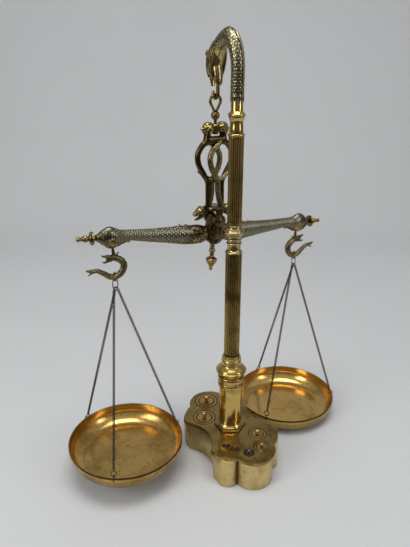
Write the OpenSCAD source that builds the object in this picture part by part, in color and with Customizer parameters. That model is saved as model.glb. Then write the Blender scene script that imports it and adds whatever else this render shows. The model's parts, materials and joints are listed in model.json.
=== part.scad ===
// Apothecary scale of cast and turned brass. A serpent on a fluted column holds a hook in its mouth.
// From the hook hang an eye, a lyre shaped shackle and a beam of two dragons with a pan on chains
// at each end. The base carries seven lift-out weights in wells.
// Lengths are in millimetres. The column stands on the origin, +Z is up, the beam runs along X in
// front of the column, on the -Y side. The scale is drawn as it rests, with its left pan down.

/* [Base] */
// height from the table to the top of the base
base_h = 47.5; // [36:0.5:60]
// thickness of the top plate
plate_t = 5; // [4:0.5:8]
// how far the plate stands out past the walls
plate_over = 3; // [1.5:0.5:4]
// radius of the large lobe at each end
end_lobe_r = 29; // [28:0.5:32]
// distance of an end lobe from the column
end_lobe_y = 55.8; // [54:0.2:60]
// radius of the small lobes of the walls beside it
side_lobe_r = 14; // [13:0.5:16]
// half the width of the plate at its corners
corner_x = 51; // [49:0.5:54]
// radius of the hollow in each long side
waist_r = 44; // [40:0.5:48]
// width of the base at its narrowest
waist_w = 73.6; // [72:0.2:84]

/* [Weights] */
// gap round a weight in its well
well_gap = 0.5; // [0.3:0.05:0.7]
// depth of the well of the largest weight
well_depth = 14; // [10:1:24]
// depth of the well of the smallest weight
small_depth = 3.6; // [3:0.2:5]

/* [Column] */
// width across the corners of the six-sided foot plate
foot_hex_w = 44; // [40:1:48]
// thickness of the foot plate
foot_hex_t = 2.5; // [1.5:0.5:4]
// radius of the polished cylinder that the column stands in
socket_r = 15.3; // [14:0.1:17]
// height of that cylinder with its foot ring
socket_h = 63; // [50:1:80]
// height of the turned crown above it
crown_h = 45; // [40:1:55]
// radius of the lower fluted shaft
lower_r = 10; // [9:0.1:11]
// length of the lower fluted shaft
lower_h = 143; // [110:1:180]
// height of the collar between the shafts
collar_h = 36; // [30:1:44]
// radius of the upper fluted shaft
upper_r = 8.7; // [8:0.1:9.5]
// length of the upper fluted shaft
upper_h = 100; // [80:1:130]
// height of the vase collar under the serpent
vase_h = 36; // [30:1:44]
// number of flutes round each shaft
flutes = 20; // [12:1:24]
// radius of the rod that ties the column to the base
rod_r = 3; // [2:0.25:4]

/* [Serpent arm] */
// distance of the hanging axis in front of the column
reach = 45; // [42:0.5:48]
// height of the serpent above the vase collar
arm_h = 74; // [70:1:80]
// half the thickness of its neck
neck_r = 7.2; // [6.5:0.1:8]
// radius of the wire of the hook in its mouth
mouth_wire_r = 2.1; // [1.6:0.1:2.5]
// radius of the bend of that hook
mouth_bend_r = 5.2; // [5:0.1:6.5]

/* [Hanger and shackle] */
// radius of the suspension eye to the middle of its wire
eye_r = 6.9; // [6:0.1:8]
// radius of the wire of the suspension eye
eye_wire_r = 1.7; // [1.4:0.1:2]
// radius of the stem that the shackle swivels on
stem_r = 2; // [1.5:0.1:2.5]
// distance from the top bar of the shackle down to the beam pivot
shackle_drop = 110; // [100:1:120]
// thickness of a leg of the lyre
leg_t = 6; // [5:0.2:7]
// thickness of the twined serpents
coil_t = 5; // [4:0.2:5.6]

/* [Beam] */
// distance from the pivot to the hole at either end, along the beam
arm_len = 135; // [115:1:160]
// height of the pivot above the line of the end holes
pivot_rise = 18; // [12:1:22]
// tilt at rest, the left pan being down
rest_tilt = 4.74; // [2:0.01:6]
// radius of the pivot pin
pivot_r = 2; // [1.5:0.1:2.5]
// radius of the pins that carry the hooks
hook_pin_r = 1.2; // [0.9:0.1:1.5]

/* [Hooks] */
// drop from the end hole to the bottom of the snake hook
hook_drop = 47; // [42:1:54]
// height of the ring that gathers the chains
gather_h = 9.3; // [8:0.1:12]

/* [Chains] */
// inside length of one link
link_in = 2.65; // [2.4:0.05:4]
// outside width of one link
link_w = 2.9; // [2.7:0.05:4]
// thickness of the link wire
link_wire = 0.8; // [0.6:0.05:0.9]
// play between two links
link_gap = 0.05; // [0.05:0.01:0.1]
// outside diameter of the rings at the rim of a pan
rim_ring_d = 8; // [7:0.1:10]
// thickness of their wire
rim_ring_wire = 1; // [0.8:0.05:1.2]

/* [Pans] */
// radius of a pan at the rim
pan_r = 75; // [65:1:85]
// depth of a pan
pan_h = 25.7; // [20:0.1:32]
// radius of the curve between floor and wall
pan_corner = 21; // [14:0.5:22]
// thickness of the pan
pan_t = 1.4; // [1:0.1:2]
// gap between the lower pan and the table at rest
pan_floor_gap = 0.5; // [0.3:0.1:2]

/* [Hidden] */
$fn = 48;
run_fit = 0.05;
air = 0.3;

WELLS = [[2, -61.5, 16.5], [24, -30, 16], [-20, 37, 12.2], [-10, 60.5, 10.4],
    [10.5, 61, 7.2], [22, 47, 5.4], [29, 35.5, 4.8]];

z_foot = base_h + foot_hex_t;
z_crown = z_foot + socket_h;
z_lower = z_crown + crown_h;
z_collar = z_lower + lower_h;
z_upper = z_collar + collar_h;
z_vase = z_upper + upper_h;
z_arm = z_vase + vase_h;
bore_r = rod_r + 0.1;

// the hook in the mouth, the eye on it and the parts hung below, from the top down
mouth_z = z_arm + 1.5;
mouth_bend_z = mouth_z + mouth_bend_r;
eye_axis_z = mouth_z + mouth_wire_r;
eye_z = eye_axis_z + eye_wire_r + run_fit * 2 - eye_r;
ball_z = eye_z - eye_r - 9.2;
yoke_z = ball_z - 14.4;
pivot_z = yoke_z - shackle_drop;

function turn(t, v) = [v[0] * cos(t) - v[1] * sin(t), v[0] * sin(t) + v[1] * cos(t)];
function hole(side) = let (p = turn(rest_tilt, [side * arm_len, -pivot_rise])) [p[0], -reach, pivot_z + p[1]];

eye_drop_z = -hook_drop - 0.9;
gather_wire_r = 0.55;
gather_top = eye_drop_z - 0.25;
gather_w = 6;
ring_apart = 1.95;
top_ring_r = 2.2;
pan_drop = hole(-1)[2] - pan_floor_gap;

// Working pieces

function unit(v) = v / norm(v);
function square_to(v, a) = unit(v - (v * a) * a);

// a smooth row of stations through the given ones, each [x, y, half across, half in the plane]
function glide(a, b, c, d, t) = 0.5 * (2 * b + (c - a) * t + (2 * a - 5 * b + 4 * c - d) * t * t
    + (3 * b - a - 3 * c + d) * t * t * t);
function smooth(rows, steps) = [for (i = [0:len(rows) - 2]) for (k = [0:steps - 1])
    glide(rows[max(i - 1, 0)], rows[i], rows[i + 1], rows[min(i + 2, len(rows) - 1)], k / steps),
    rows[len(rows) - 1]];

// a body lofted through oval sections along a path that lies in the XZ plane
module loft(rows, steps = 3, sides = 14) {
    path = smooth(rows, steps);
    last = len(path) - 1;
    points = [for (i = [0:last])
        let (ahead = path[min(i + 1, last)], behind = path[max(i - 1, 0)],
            along = unit([ahead[0] - behind[0], ahead[1] - behind[1]]), row = path[i])
        for (k = [0:sides - 1])
            let (a = 360 * k / sides)
            [row[0] - along[1] * row[3] * cos(a), row[2] * sin(a), row[1] + along[0] * row[3] * cos(a)]];
    skin = [for (i = [0:last - 1]) for (k = [0:sides - 1]) for (half = [0, 1])
        let (a = i * sides + k, b = i * sides + (k + 1) % sides)
        half == 0 ? [a, b, b + sides] : [a, b + sides, a + sides]];
    ends = [[for (k = [sides - 1:-1:0]) k], [for (k = [0:sides - 1]) last * sides + k]];
    polyhedron(points, concat(skin, ends), convexity = 6);
}

// sets a piece at a point, with its Z along one direction and its X square to that, towards another
module place(point, along, across) {
    a = unit(along);
    w = square_to(across, a);
    n = cross(a, w);
    multmatrix([[w[0], n[0], a[0], point[0]], [w[1], n[1], a[1], point[1]], [w[2], n[2], a[2], point[2]]])
        children();
}

// an S shaped profile from one radius to another, for turned work
module ogee(r0, z0, r1, z1) {
    polygon(concat([[0, z0]], [for (i = [0:8]) [r0 + (r1 - r0) * (1 - cos(22.5 * i)) / 2, z0 + (z1 - z0) * i / 8]],
        [[0, z1]]));
}

module step(r, z0, z1) {
    translate([0, z0]) square([r, z1 - z0]);
}

module bead(r, z, half) {
    translate([r - half, z]) circle(half);
    translate([0, z - half]) square([r - half, 2 * half]);
}

// turned work: the children are half profiles, kept to the right of the axis and bored through
module turned(bore = 0) {
    rotate_extrude() difference() {
        union() children();
        translate([bore - 500, -500]) square([500, 2000]);
    }
}

// Base

// the hollows in the long sides, cut deeper into the walls than into the plate
module hollows(deeper) {
    for (t = [-1, 1])
        translate([t * (waist_w / 2 + waist_r), 0]) circle(waist_r + deeper);
}

// the top plate: a lobe at each end and four blunt corners
module plate_plan(inset) {
    slant = [corner_x - 6 - inset, end_lobe_y - 6 - inset];
    notch = [corner_x - 18.5 - inset, end_lobe_y + 5.7 - inset];
    corner = [corner_x - inset, 41 - inset];
    difference() {
        union() {
            for (s = [-1, 1]) {
                translate([0, s * end_lobe_y]) circle(end_lobe_r - inset);
                polygon([[corner[0], 0], [corner[0], s * corner[1]], [slant[0], s * slant[1]], [notch[0], s * notch[1]],
                    [-notch[0], s * notch[1]], [-slant[0], s * slant[1]], [-corner[0], s * corner[1]], [-corner[0], 0]]);
            }
        }
        hollows(inset);
    }
}

// the walls below it: every lobe is a half round column
module wall_plan(inset) {
    lobe_x = corner_x - 5 - side_lobe_r;
    lobe_y = end_lobe_y - 10.5;
    difference() {
        union() {
            square([2 * (lobe_x + side_lobe_r - inset), 2 * lobe_y], center = true);
            for (s = [-1, 1]) {
                translate([0, s * end_lobe_y]) circle(end_lobe_r - plate_over - inset);
                for (t = [-1, 1])
                    translate([t * lobe_x, s * lobe_y]) circle(side_lobe_r - inset);
            }
        }
        hollows(plate_over + inset);
    }
}

function depth_of(well) = well[2] < 6 ? small_depth
    : small_depth + (well_depth - small_depth) * (well[2] - WELLS[6][2]) / (WELLS[0][2] - WELLS[6][2]);

module wells() {
    for (w = WELLS)
        translate([w[0], w[1], base_h - depth_of(w)]) cylinder(r = w[2], h = depth_of(w) + 1);
}

recess_r = 14;
recess_h = 12;
washer_t = 2;
nut_h = 5;
undercut = 1.4;

module base_block() {
    difference() {
        union() {
            linear_extrude(undercut) wall_plan(undercut);
            translate([0, 0, undercut]) linear_extrude(base_h - plate_t - undercut) wall_plan(0);
        }
        wells();
        translate([0, 0, -1]) cylinder(r = recess_r, h = recess_h + 1);
        translate([0, 0, -1]) cylinder(r = bore_r, h = base_h + 2);
    }
}

module base_plate() {
    lip = 1;
    difference() {
        union() {
            translate([0, 0, base_h - plate_t]) linear_extrude(plate_t - lip) plate_plan(0);
            translate([0, 0, base_h - lip]) linear_extrude(lip) plate_plan(0.7);
        }
        wells();
        translate([0, 0, -1]) cylinder(r = bore_r, h = base_h + 2);
    }
}

module weight(i) {
    w = WELLS[i];
    r = w[2] - well_gap;
    h = depth_of(w) - run_fit;
    knob = 0.2 * r + 0.6;
    translate([w[0], w[1], base_h - depth_of(w) + run_fit]) rotate_extrude() difference() {
        union() {
            square([r - 0.5, h]);
            square([r, h - 0.5]);
            translate([0, h]) square([0.55 * knob, knob]);
            translate([0, h + 1.5 * knob]) circle(knob);
        }
        translate([0.66 * r, h - 0.6]) square([0.1 * r, 2]);
        translate([-50, -50]) square([50, 200]);
    }
}

// Column

module foot_plate() {
    translate([0, 0, base_h]) difference() {
        rotate([0, 0, 30]) cylinder(d = foot_hex_w, h = foot_hex_t, $fn = 6);
        translate([0, 0, -1]) cylinder(r = bore_r, h = foot_hex_t + 2);
    }
}

module column_socket() {
    translate([0, 0, z_foot]) turned(bore_r) {
        bead(socket_r + 2.4, 1.5, 1.5);
        ogee(socket_r + 1.6, 2.9, socket_r, 5.6);
        step(socket_r, 0, socket_h - 1);
        step(socket_r - 0.5, 0, socket_h);
    }
}

module column_crown() {
    r = socket_r + 1.9;
    translate([0, 0, z_crown]) turned(bore_r) {
        step(r - 1, 0, 17);
        step(r, 0.6, 3.6);
        bead(r + 0.3, 5.8, 1.1);
        step(r, 8, 12.6);
        bead(r + 0.3, 14.6, 1.1);
        ogee(r - 0.8, 15.6, socket_r + 3.4, 21.8);
        bead(socket_r + 4.8, 23.2, 1.6);
        ogee(socket_r + 3.6, 24.5, lower_r + 2, 33);
        step(lower_r + 2, 33, 36);
        bead(lower_r + 3.2, 38.2, 2.3);
        step(lower_r + 2.2, 38, crown_h - 2);
        step(lower_r + 1.2, 40, crown_h);
    }
}

module fluted(r, h) {
    foot = 1.6;
    cylinder(r = r + 0.4, h = foot);
    translate([0, 0, foot]) linear_extrude(h - 2 * foot) difference() {
        circle(r);
        for (k = [0:flutes - 1])
            rotate(360 * k / flutes) translate([r + 0.1, 0]) circle(0.12 * r + 0.2, $fn = 16);
    }
    translate([0, 0, h - foot]) cylinder(r = r + 0.4, h = foot);
}

module lower_column() {
    translate([0, 0, z_lower]) difference() {
        fluted(lower_r, lower_h);
        translate([0, 0, -1]) cylinder(r = bore_r, h = lower_h + 2);
    }
}

module middle_collar() {
    translate([0, 0, z_collar]) turned(bore_r) {
        ogee(lower_r + 0.4, 0, upper_r - 0.5, 3.5);
        step(upper_r - 0.7, 0, collar_h);
        bead(upper_r + 0.5, 11.5, 1.3);
        bead(upper_r + 0.5, 16, 1.3);
        ogee(upper_r - 0.5, 20, upper_r + 2.4, 24.4);
        bead(upper_r + 3.6, 26, 1.6);
        ogee(upper_r + 2.6, 27, upper_r + 0.2, 31.6);
        bead(upper_r + 0.6, 33, 1.3);
        step(upper_r, 33, collar_h);
    }
}

module upper_column() {
    translate([0, 0, z_upper]) difference() {
        fluted(upper_r, upper_h);
        translate([0, 0, -1]) cylinder(r = bore_r, h = upper_h + 2);
    }
}

module upper_collar() {
    translate([0, 0, z_vase]) turned(bore_r) {
        bead(upper_r + 1.1, 1.5, 1.4);
        step(upper_r - 0.9, 0, 4.5);
        ogee(upper_r - 0.7, 4, upper_r - 1.4, 15.5);
        ogee(upper_r - 1.4, 15.5, upper_r + 0.5, 21);
        bead(upper_r + 1.1, 22.6, 1.5);
        ogee(upper_r + 0.4, 23.6, neck_r - 0.4, 27);
        step(neck_r - 0.4, 0, vase_h);
    }
}

module tie_rod() {
    translate([0, 0, 3]) cylinder(r = rod_r, h = z_arm + 12 - 3);
}

module tie_washer() {
    translate([0, 0, recess_h - washer_t]) difference() {
        cylinder(r = recess_r - 3, h = washer_t);
        translate([0, 0, -1]) cylinder(r = bore_r, h = washer_t + 2);
    }
}

module tie_nut() {
    translate([0, 0, recess_h - washer_t - nut_h]) difference() {
        cylinder(r = 2.2 * rod_r, h = nut_h, $fn = 6);
        translate([0, 0, -1]) cylinder(r = rod_r + run_fit, h = nut_h + 2);
    }
}

// Serpent arm. In the loft's plane X is turned to -Y, so a row is [distance in front, height].

top = z_arm + arm_h;
mouth_shank_y = reach - mouth_bend_r;

module serpent_arm() {
    neck = [[0, z_arm, neck_r, neck_r], [0, z_arm + 20, neck_r, neck_r], [0, z_arm + 36, neck_r, neck_r],
        [3, top - 24, neck_r + 0.2, neck_r + 0.2], [11, top - 12, neck_r + 0.5, neck_r + 0.8],
        [23, top - 9, neck_r + 1, neck_r + 1.3], [34, top - 13, neck_r + 1.8, neck_r + 2],
        [42.5, top - 21, neck_r + 2.7, neck_r + 3.3], [reach + 1.6, top - 32, 10.2, 11.2],
        [reach + 1.6, top - 42, 9, 9.6], [reach + 0.5, top - 50, 6, 6.4]];
    upper_jaw = [[reach + 6, top - 34, 7, 4.8], [reach + 8, top - 45, 5.6, 3.6], [reach + 7.2, top - 54, 4, 2.7],
        [reach + 5.6, top - 60, 2, 1.5]];
    lower_jaw = [[reach - 3, top - 36, 8, 5], [reach - 5, top - 46, 6.6, 4.8], [reach - 6.6, top - 53.5, 5.2, 4.2],
        [reach - 7.4, top - 58.5, 3.4, 2.6]];
    difference() {
        union() {
            rotate([0, 0, -90]) loft(neck, 4, 16);
            rotate([0, 0, -90]) loft(upper_jaw, 3, 12);
            rotate([0, 0, -90]) loft(lower_jaw, 3, 12);
            for (s = [-1, 1])
                translate([s * 6.4, -reach - 7.5, top - 30.5]) sphere(2.8);
        }
        translate([0, -mouth_shank_y, mouth_bend_z]) cylinder(r = mouth_wire_r + run_fit, h = 15);
        translate([0, 0, z_arm - 1]) cylinder(r = bore_r, h = 14);
    }
}

module mouth_hook() {
    translate([0, -mouth_shank_y, mouth_bend_z]) cylinder(r = mouth_wire_r, h = 14.9);
    translate([0, -reach, mouth_bend_z]) rotate([0, -90, 0]) rotate([0, 0, 90]) rotate_extrude(angle = 180)
        translate([mouth_bend_r, 0]) circle(mouth_wire_r);
    translate([0, -reach - mouth_bend_r, mouth_bend_z]) cylinder(r1 = mouth_wire_r, r2 = 1.1, h = 3);
}

// Hanger

module suspension_eye() {
    translate([0, -reach, eye_z]) {
        rotate([90, 0, 0]) rotate([0, 0, -36]) rotate_extrude(angle = 252) translate([eye_r, 0]) circle(eye_wire_r);
        for (s = [-1, 1])
            place([s * eye_r * cos(30), 0, -eye_r * sin(30)], [-s * sin(30), 0, -cos(30)], [0, 1, 0])
                cylinder(r = eye_wire_r - 0.12, h = 1.5 * eye_r);
    }
    translate([0, -reach, 0]) turned() {
        bead(3.4, ball_z + 6, 0.9);
        translate([0, ball_z]) circle(5.2);
        step(stem_r, yoke_z - 6.6, ball_z);
        step(stem_r + 1.6, yoke_z - 6.6, yoke_z - 4 - air);
    }
}

// Shackle, hung plumb. Its rows are [x, height].

gap_y = 9.5;
cheek_t = 3;
cap_r = 8;
foot_of_yoke = yoke_z - 14;

module yoke() {
    translate([0, -reach, 0]) difference() {
        union() {
            translate([0, 0, yoke_z - 4]) cylinder(r = 5.4, h = 9);
            translate([-10, 0, yoke_z]) rotate([0, 90, 0]) cylinder(r = 3.6, h = 20);
            for (s = [-1, 1]) {
                translate([s * 10, 0, yoke_z]) sphere(5.2);
                translate([s * 10, 0, yoke_z]) rotate([0, s * 90, 0]) cylinder(r1 = 4.6, r2 = 1, h = 10);
                translate([s * 11, 0, foot_of_yoke]) cylinder(r1 = 4.4, r2 = 3.4, h = 14);
            }
            translate([-11, 0, yoke_z - 11.5]) rotate([0, 90, 0]) cylinder(r = 2.6, h = 22);
        }
        translate([0, 0, yoke_z - 5]) cylinder(r = stem_r + run_fit, h = 12);
    }
}

module half_lyre() {
    leg = [[12, foot_of_yoke - 0.2, 3.4, 3.6], [18.5, yoke_z - 19, 3, 3], [24.2, yoke_z - 30, leg_t / 2, leg_t / 2],
        [22, yoke_z - 42, leg_t / 2, leg_t / 2], [14.5, yoke_z - 53, 2.9, 2.9], [8.6, yoke_z - 63, 2.8, 2.8],
        [8.4, yoke_z - 76, 2.8, 2.8], [8.6, yoke_z - 92, 3, 3]];
    r = coil_t / 2;
    coil = [[-21, yoke_z - 50, 0.8, 0.8], [-15, yoke_z - 53.5, 1.8, 1.8], [-7, yoke_z - 59, r - 0.2, r - 0.2],
        [1, yoke_z - 53.5, r, r], [7, yoke_z - 44, r, r], [8, yoke_z - 33, r, r], [4.4, yoke_z - 23.5, r, r],
        [0, yoke_z - 20, r, r]];
    body = [[0, yoke_z - 20, r, r], [-4.4, yoke_z - 23.5, r, r], [-8, yoke_z - 33, r, r], [-7, yoke_z - 44, r, r],
        [-1, yoke_z - 54, r, r], [4.6, yoke_z - 63, r, r], [5.4, yoke_z - 76, r, r], [7, yoke_z - 90, r, r],
        [11, yoke_z - 97.5, 3.4, 3.2], [17, yoke_z - 100, 5, 5.8], [22, yoke_z - 101.5, 4.4, 5], [28, yoke_z - 104, 2, 1.8]];
    loft(leg, 3, 12);
    translate([0, 2.3, 0]) loft(body, 3, 10);
    translate([0, -2.3, 0]) loft(coil, 2, 8);
}

module lyre() {
    translate([0, -reach, 0]) difference() {
        union() {
            half_lyre();
            rotate([0, 0, 180]) half_lyre();
            translate([0, 0, pivot_z + 12]) cylinder(r = gap_y + cheek_t, h = 6);
            for (s = [-1, 1]) {
                translate([0, s * (gap_y + cheek_t / 2), pivot_z]) rotate([90, 0, 0])
                    cylinder(r = cap_r, h = cheek_t, center = true);
                translate([0, s * (gap_y + cheek_t / 2), pivot_z + 8])
                    cube([9, cheek_t, 16], center = true);
            }
        }
        translate([0, gap_y + cheek_t + 1, pivot_z]) rotate([90, 0, 0])
            cylinder(r = pivot_r + run_fit, h = 2 * (gap_y + cheek_t + 1));
        translate([-20, -10, foot_of_yoke]) cube([40, 20, 12]);
    }
}

module bearing_cap(s) {
    translate([0, -reach + s * (gap_y + cheek_t), pivot_z]) rotate([-s * 90, 0, 0]) rotate_extrude() union() {
        square([cap_r, 1.2]);
        intersection() {
            translate([0, 3.6 - 9]) circle(9);
            square([cap_r - 0.8, 5]);
        }
    }
}

// Beam, drawn level about its pivot and then tilted to its place at rest. Its rows are [along, height].

module on_beam() {
    translate([0, -reach, pivot_z]) rotate([0, -rest_tilt, 0]) translate([0, 0, -pivot_rise]) children();
}

hub_w = 10;
hub_y = 6.5;

module beam_hub() {
    on_beam() difference() {
        union() {
            translate([0, hub_y, 0]) rotate([90, 0, 0]) linear_extrude(2 * hub_y) polygon([[-hub_w, -9],
                [-5.5, -13], [5.5, -13], [hub_w, -9], [hub_w, 9], [6, pivot_rise + 2], [-6, pivot_rise + 2], [-hub_w, 9]]);
            translate([0, hub_y, pivot_rise]) rotate([90, 0, 0]) cylinder(r = 6.6, h = 2 * hub_y);
            translate([0, hub_y + 1.4, 0]) rotate([90, 0, 0]) cylinder(r = 7.5, h = 2 * hub_y + 2.8);
        }
        translate([0, hub_y + 2, pivot_rise]) rotate([90, 0, 0]) cylinder(r = pivot_r + run_fit, h = 2 * hub_y + 4);
    }
}

module pivot_pin() {
    on_beam() translate([0, gap_y + cheek_t - air, pivot_rise]) rotate([90, 0, 0])
        cylinder(r = pivot_r, h = 2 * (gap_y + cheek_t - air));
}

slot_y = 3.4;
eye_t = 2.6;
hook_eye_r = 3.4;

module beam_arm(side) {
    rows = [[hub_w, 0, 5, 9], [16, 0, 6, 10.4], [24, 0, 7, 12.2], [36, 0, 7, 12.1], [50, 1, 6, 11], [66, 2, 5.5, 9.4],
        [83, 3.1, 5, 8.1], [100, 4.5, 4.8, 7], [112, 5.7, 4.8, 6.3], [arm_len - 13, 5.6, 5.2, 6.8],
        [arm_len - 5, 5, 6.6, 9.6], [arm_len + 4, 5.2, 7, 12.2], [arm_len + 12, 5.2, 6, 8.5], [arm_len + 17, 5.2, 4, 4.6]];
    on_beam() rotate([0, 0, side > 0 ? 0 : 180]) difference() {
        loft(rows, 3, 14);
        translate([arm_len - 6, -slot_y / 2, -20]) cube([11, slot_y, 20 + hook_eye_r + 1]);
        translate([arm_len, 20, 0]) rotate([90, 0, 0]) cylinder(r = hook_pin_r + run_fit, h = 40);
    }
}

module hook_pin(side) {
    on_beam() translate([side * arm_len, 5.4, 0]) rotate([90, 0, 0]) cylinder(r = hook_pin_r, h = 10.8);
}

module end_finial(side) {
    on_beam() rotate([0, 0, side > 0 ? 0 : 180]) translate([arm_len + 17, 0, 5.2]) rotate([0, 90, 0]) turned() {
        ogee(4.6, 0, 2.4, 5);
        step(2.4, 4, 12);
        bead(8, 7, 1.3);
        bead(4.6, 9.2, 0.8);
        translate([0, 14.4]) circle(4);
        step(1.8, 12, 20);
        bead(2.6, 18.6, 0.6);
        translate([0, 22.2]) circle(3);
    }
}

module pointer() {
    on_beam() turned() {
        ogee(2.6, -17, 5, -13);
        step(2.6, -21, -15);
        translate([0, -23.5]) circle(4.2);
        bead(3.4, -18.2, 0.7);
        step(2.2, -33, -24);
        bead(3.4, -28.6, 0.7);
        ogee(7.3, -34.6, 2.4, -30.2);
        bead(7.6, -35.4, 0.9);
        ogee(2.2, -47, 7.2, -36);
        translate([0, -48.4]) circle(2.2);
    }
}

// Hooks: snakes with an open mouth outward and a forked tail. Their rows are [outward, height].

module hook(side) {
    shift = 47 - hook_drop;
    rows = [[8.6, -20, 2.2, 2], [4.6, -19.6, 3.2, 3.4], [-3, -20.8, 3.7, 3.8], [-9, -24.6, 3.8, 3.8],
        [-12.3, -31 + shift / 2, 3.8, 3.8], [-9.4, -38.8 + shift, 3.6, 3.7], [-2, -43.4 + shift, 3.5, 3.5],
        [6, -42 + shift, 3.2, 3.3], [13, -37 + shift, 2.8, 2.9], [20, -32.6 + shift, 2.3, 2.4],
        [27, -31.6 + shift, 1.9, 1.9], [33, -30 + shift, 0.8, 0.8]];
    fork = [[22, -32.4 + shift, 1.8, 1.5], [27, -33.4 + shift, 1.5, 1.3], [31, -35.6 + shift, 0.7, 0.6]];
    translate(hole(side)) {
        difference() {
            union() {
                rotate([0, 0, side > 0 ? 0 : 180]) loft(rows, 3, 12);
                rotate([0, 0, side > 0 ? 0 : 180]) loft(fork, 2, 8);
                translate([0, 0, -18]) cylinder(r1 = 2.4, r2 = 1.3, h = 16);
                translate([0, eye_t / 2, 0]) rotate([90, 0, 0]) cylinder(r = hook_eye_r, h = eye_t);
                translate([0, 0, eye_drop_z + 1]) cylinder(r = 0.9, h = 8.4);
                translate([0, 0, eye_drop_z]) rotate([0, 90, 0]) rotate_extrude() translate([1.35, 0]) circle(0.5);
            }
            translate([0, eye_t, 0]) rotate([90, 0, 0]) cylinder(r = hook_pin_r + run_fit, h = 2 * eye_t);
        }
    }
}

// Chains. Each runs from the gathering ring to two rings at the rim, and turns evenly on its way.

function pan_frame(side) = hole(side) + [0, 0, -pan_drop];
function chain_turn(side, k) = (side > 0 ? -64 : -90) + 120 * (k - 1);
function rim_hole(side, k) = let (a = chain_turn(side, k))
    pan_frame(side) + [(pan_r - pan_t / 2) * cos(a), (pan_r - pan_t / 2) * sin(a), pan_h - 4];
function chain_top(side, k) = hole(side)
    + [cos(chain_turn(side, k)) > 0.5 ? ring_apart : cos(chain_turn(side, k)) < -0.5 ? -ring_apart : 0, 0,
        gather_top - gather_h];

module wire_ring(centre, along, across, r, wire_r) {
    place(centre, along, across) rotate([90, 0, 0]) rotate_extrude() translate([r, 0]) circle(wire_r);
}

module link() {
    bend = (link_w - link_wire) / 2;
    half = link_in / 2 + link_wire / 2 - bend;
    translate([0, 0, half]) rotate([90, 0, 0]) rotate_extrude(angle = 180) translate([bend, 0]) circle(d = link_wire);
    translate([0, 0, -half]) rotate([-90, 0, 0]) rotate_extrude(angle = 180) translate([bend, 0]) circle(d = link_wire);
    translate([bend, 0, -half]) cylinder(h = 2 * half, d = link_wire);
    translate([-bend, 0, -half]) cylinder(h = 2 * half, d = link_wire);
}

module chain(side, k) {
    start = chain_top(side, k);
    finish = rim_hole(side, k);
    d = unit(finish - start);
    u = square_to([1, 0, 0], d);
    v = cross(d, u);
    radial = square_to([cos(chain_turn(side, k)), sin(chain_turn(side, k)), 0], d);
    ring_r = (rim_ring_d - rim_ring_wire) / 2;
    link_end = link_in / 2 + link_wire / 2;
    top_c = start + (top_ring_r - link_wire / 2 - gather_wire_r - 0.12) * d;
    low_c = finish - ring_r * d;
    high_c = low_c - (2 * ring_r - rim_ring_wire - link_gap) * d;
    first = top_c + (top_ring_r - link_wire - link_gap + link_end) * d;
    final = high_c - (ring_r - rim_ring_wire / 2 - link_wire / 2 - link_gap + link_end) * d;
    span = norm(final - first);
    count = ceil(span / (link_in - link_gap));
    // the last link lies square to the upper rim ring, so its turn is a whole number of half turns
    goal = atan2(radial * v, radial * u) - 90 * count;
    twist = (goal - 180 * round(goal / 180)) / count;
    wire_ring(top_c, d, v, top_ring_r, link_wire / 2);
    for (i = [0:count])
        place(first + span * i / count * d, d, cos((90 + twist) * i) * u + sin((90 + twist) * i) * v) link();
    wire_ring(high_c, d, cross(d, radial), ring_r, rim_ring_wire / 2);
    wire_ring(low_c, d, radial, ring_r, rim_ring_wire / 2);
}

module gather_ring(side) {
    bend = 1.1;
    w = gather_w / 2 - bend;
    h = gather_h / 2 - bend;
    translate(hole(side) + [0, 0, gather_top - gather_h / 2]) rotate([90, 0, 0]) {
        translate([w, h, 0]) rotate_extrude(angle = 90) translate([bend, 0]) circle(gather_wire_r);
        translate([-w, h, 0]) rotate([0, 0, 90]) rotate_extrude(angle = 90) translate([bend, 0]) circle(gather_wire_r);
        translate([-w, -h, 0]) rotate([0, 0, 180]) rotate_extrude(angle = 90) translate([bend, 0]) circle(gather_wire_r);
        translate([w, -h, 0]) rotate([0, 0, 270]) rotate_extrude(angle = 90) translate([bend, 0]) circle(gather_wire_r);
        translate([w + bend, -h, 0]) rotate([-90, 0, 0]) cylinder(r = gather_wire_r, h = 2 * h);
        translate([-w - bend, -h, 0]) rotate([-90, 0, 0]) cylinder(r = gather_wire_r, h = 2 * h);
        translate([-w, h + bend, 0]) rotate([0, 90, 0]) cylinder(r = gather_wire_r, h = 2 * w);
        translate([-w, -h - bend, 0]) rotate([0, 90, 0]) cylinder(r = gather_wire_r, h = 2 * w);
    }
}

// Pans

module pan_profile(in) {
    intersection() {
        union() {
            translate([0, in]) square([pan_r - pan_corner, pan_h + 2]);
            translate([pan_r - pan_corner, pan_corner]) circle(pan_corner - in, $fn = 96);
            translate([0, pan_corner]) square([pan_r - in, pan_h]);
        }
        square([pan_r, pan_h + (in > 0 ? 1 : 0)]);
    }
}

module bowl(side) {
    translate(pan_frame(side)) difference() {
        rotate_extrude($fn = 144) difference() {
            pan_profile(0);
            pan_profile(pan_t);
        }
        for (k = [1:3])
            rotate([0, 0, chain_turn(side, k)]) translate([pan_r - 4, 0, pan_h - 4]) rotate([0, 90, 0])
                cylinder(r = rim_ring_wire / 2 + 0.5, h = 8);
    }
}

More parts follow.
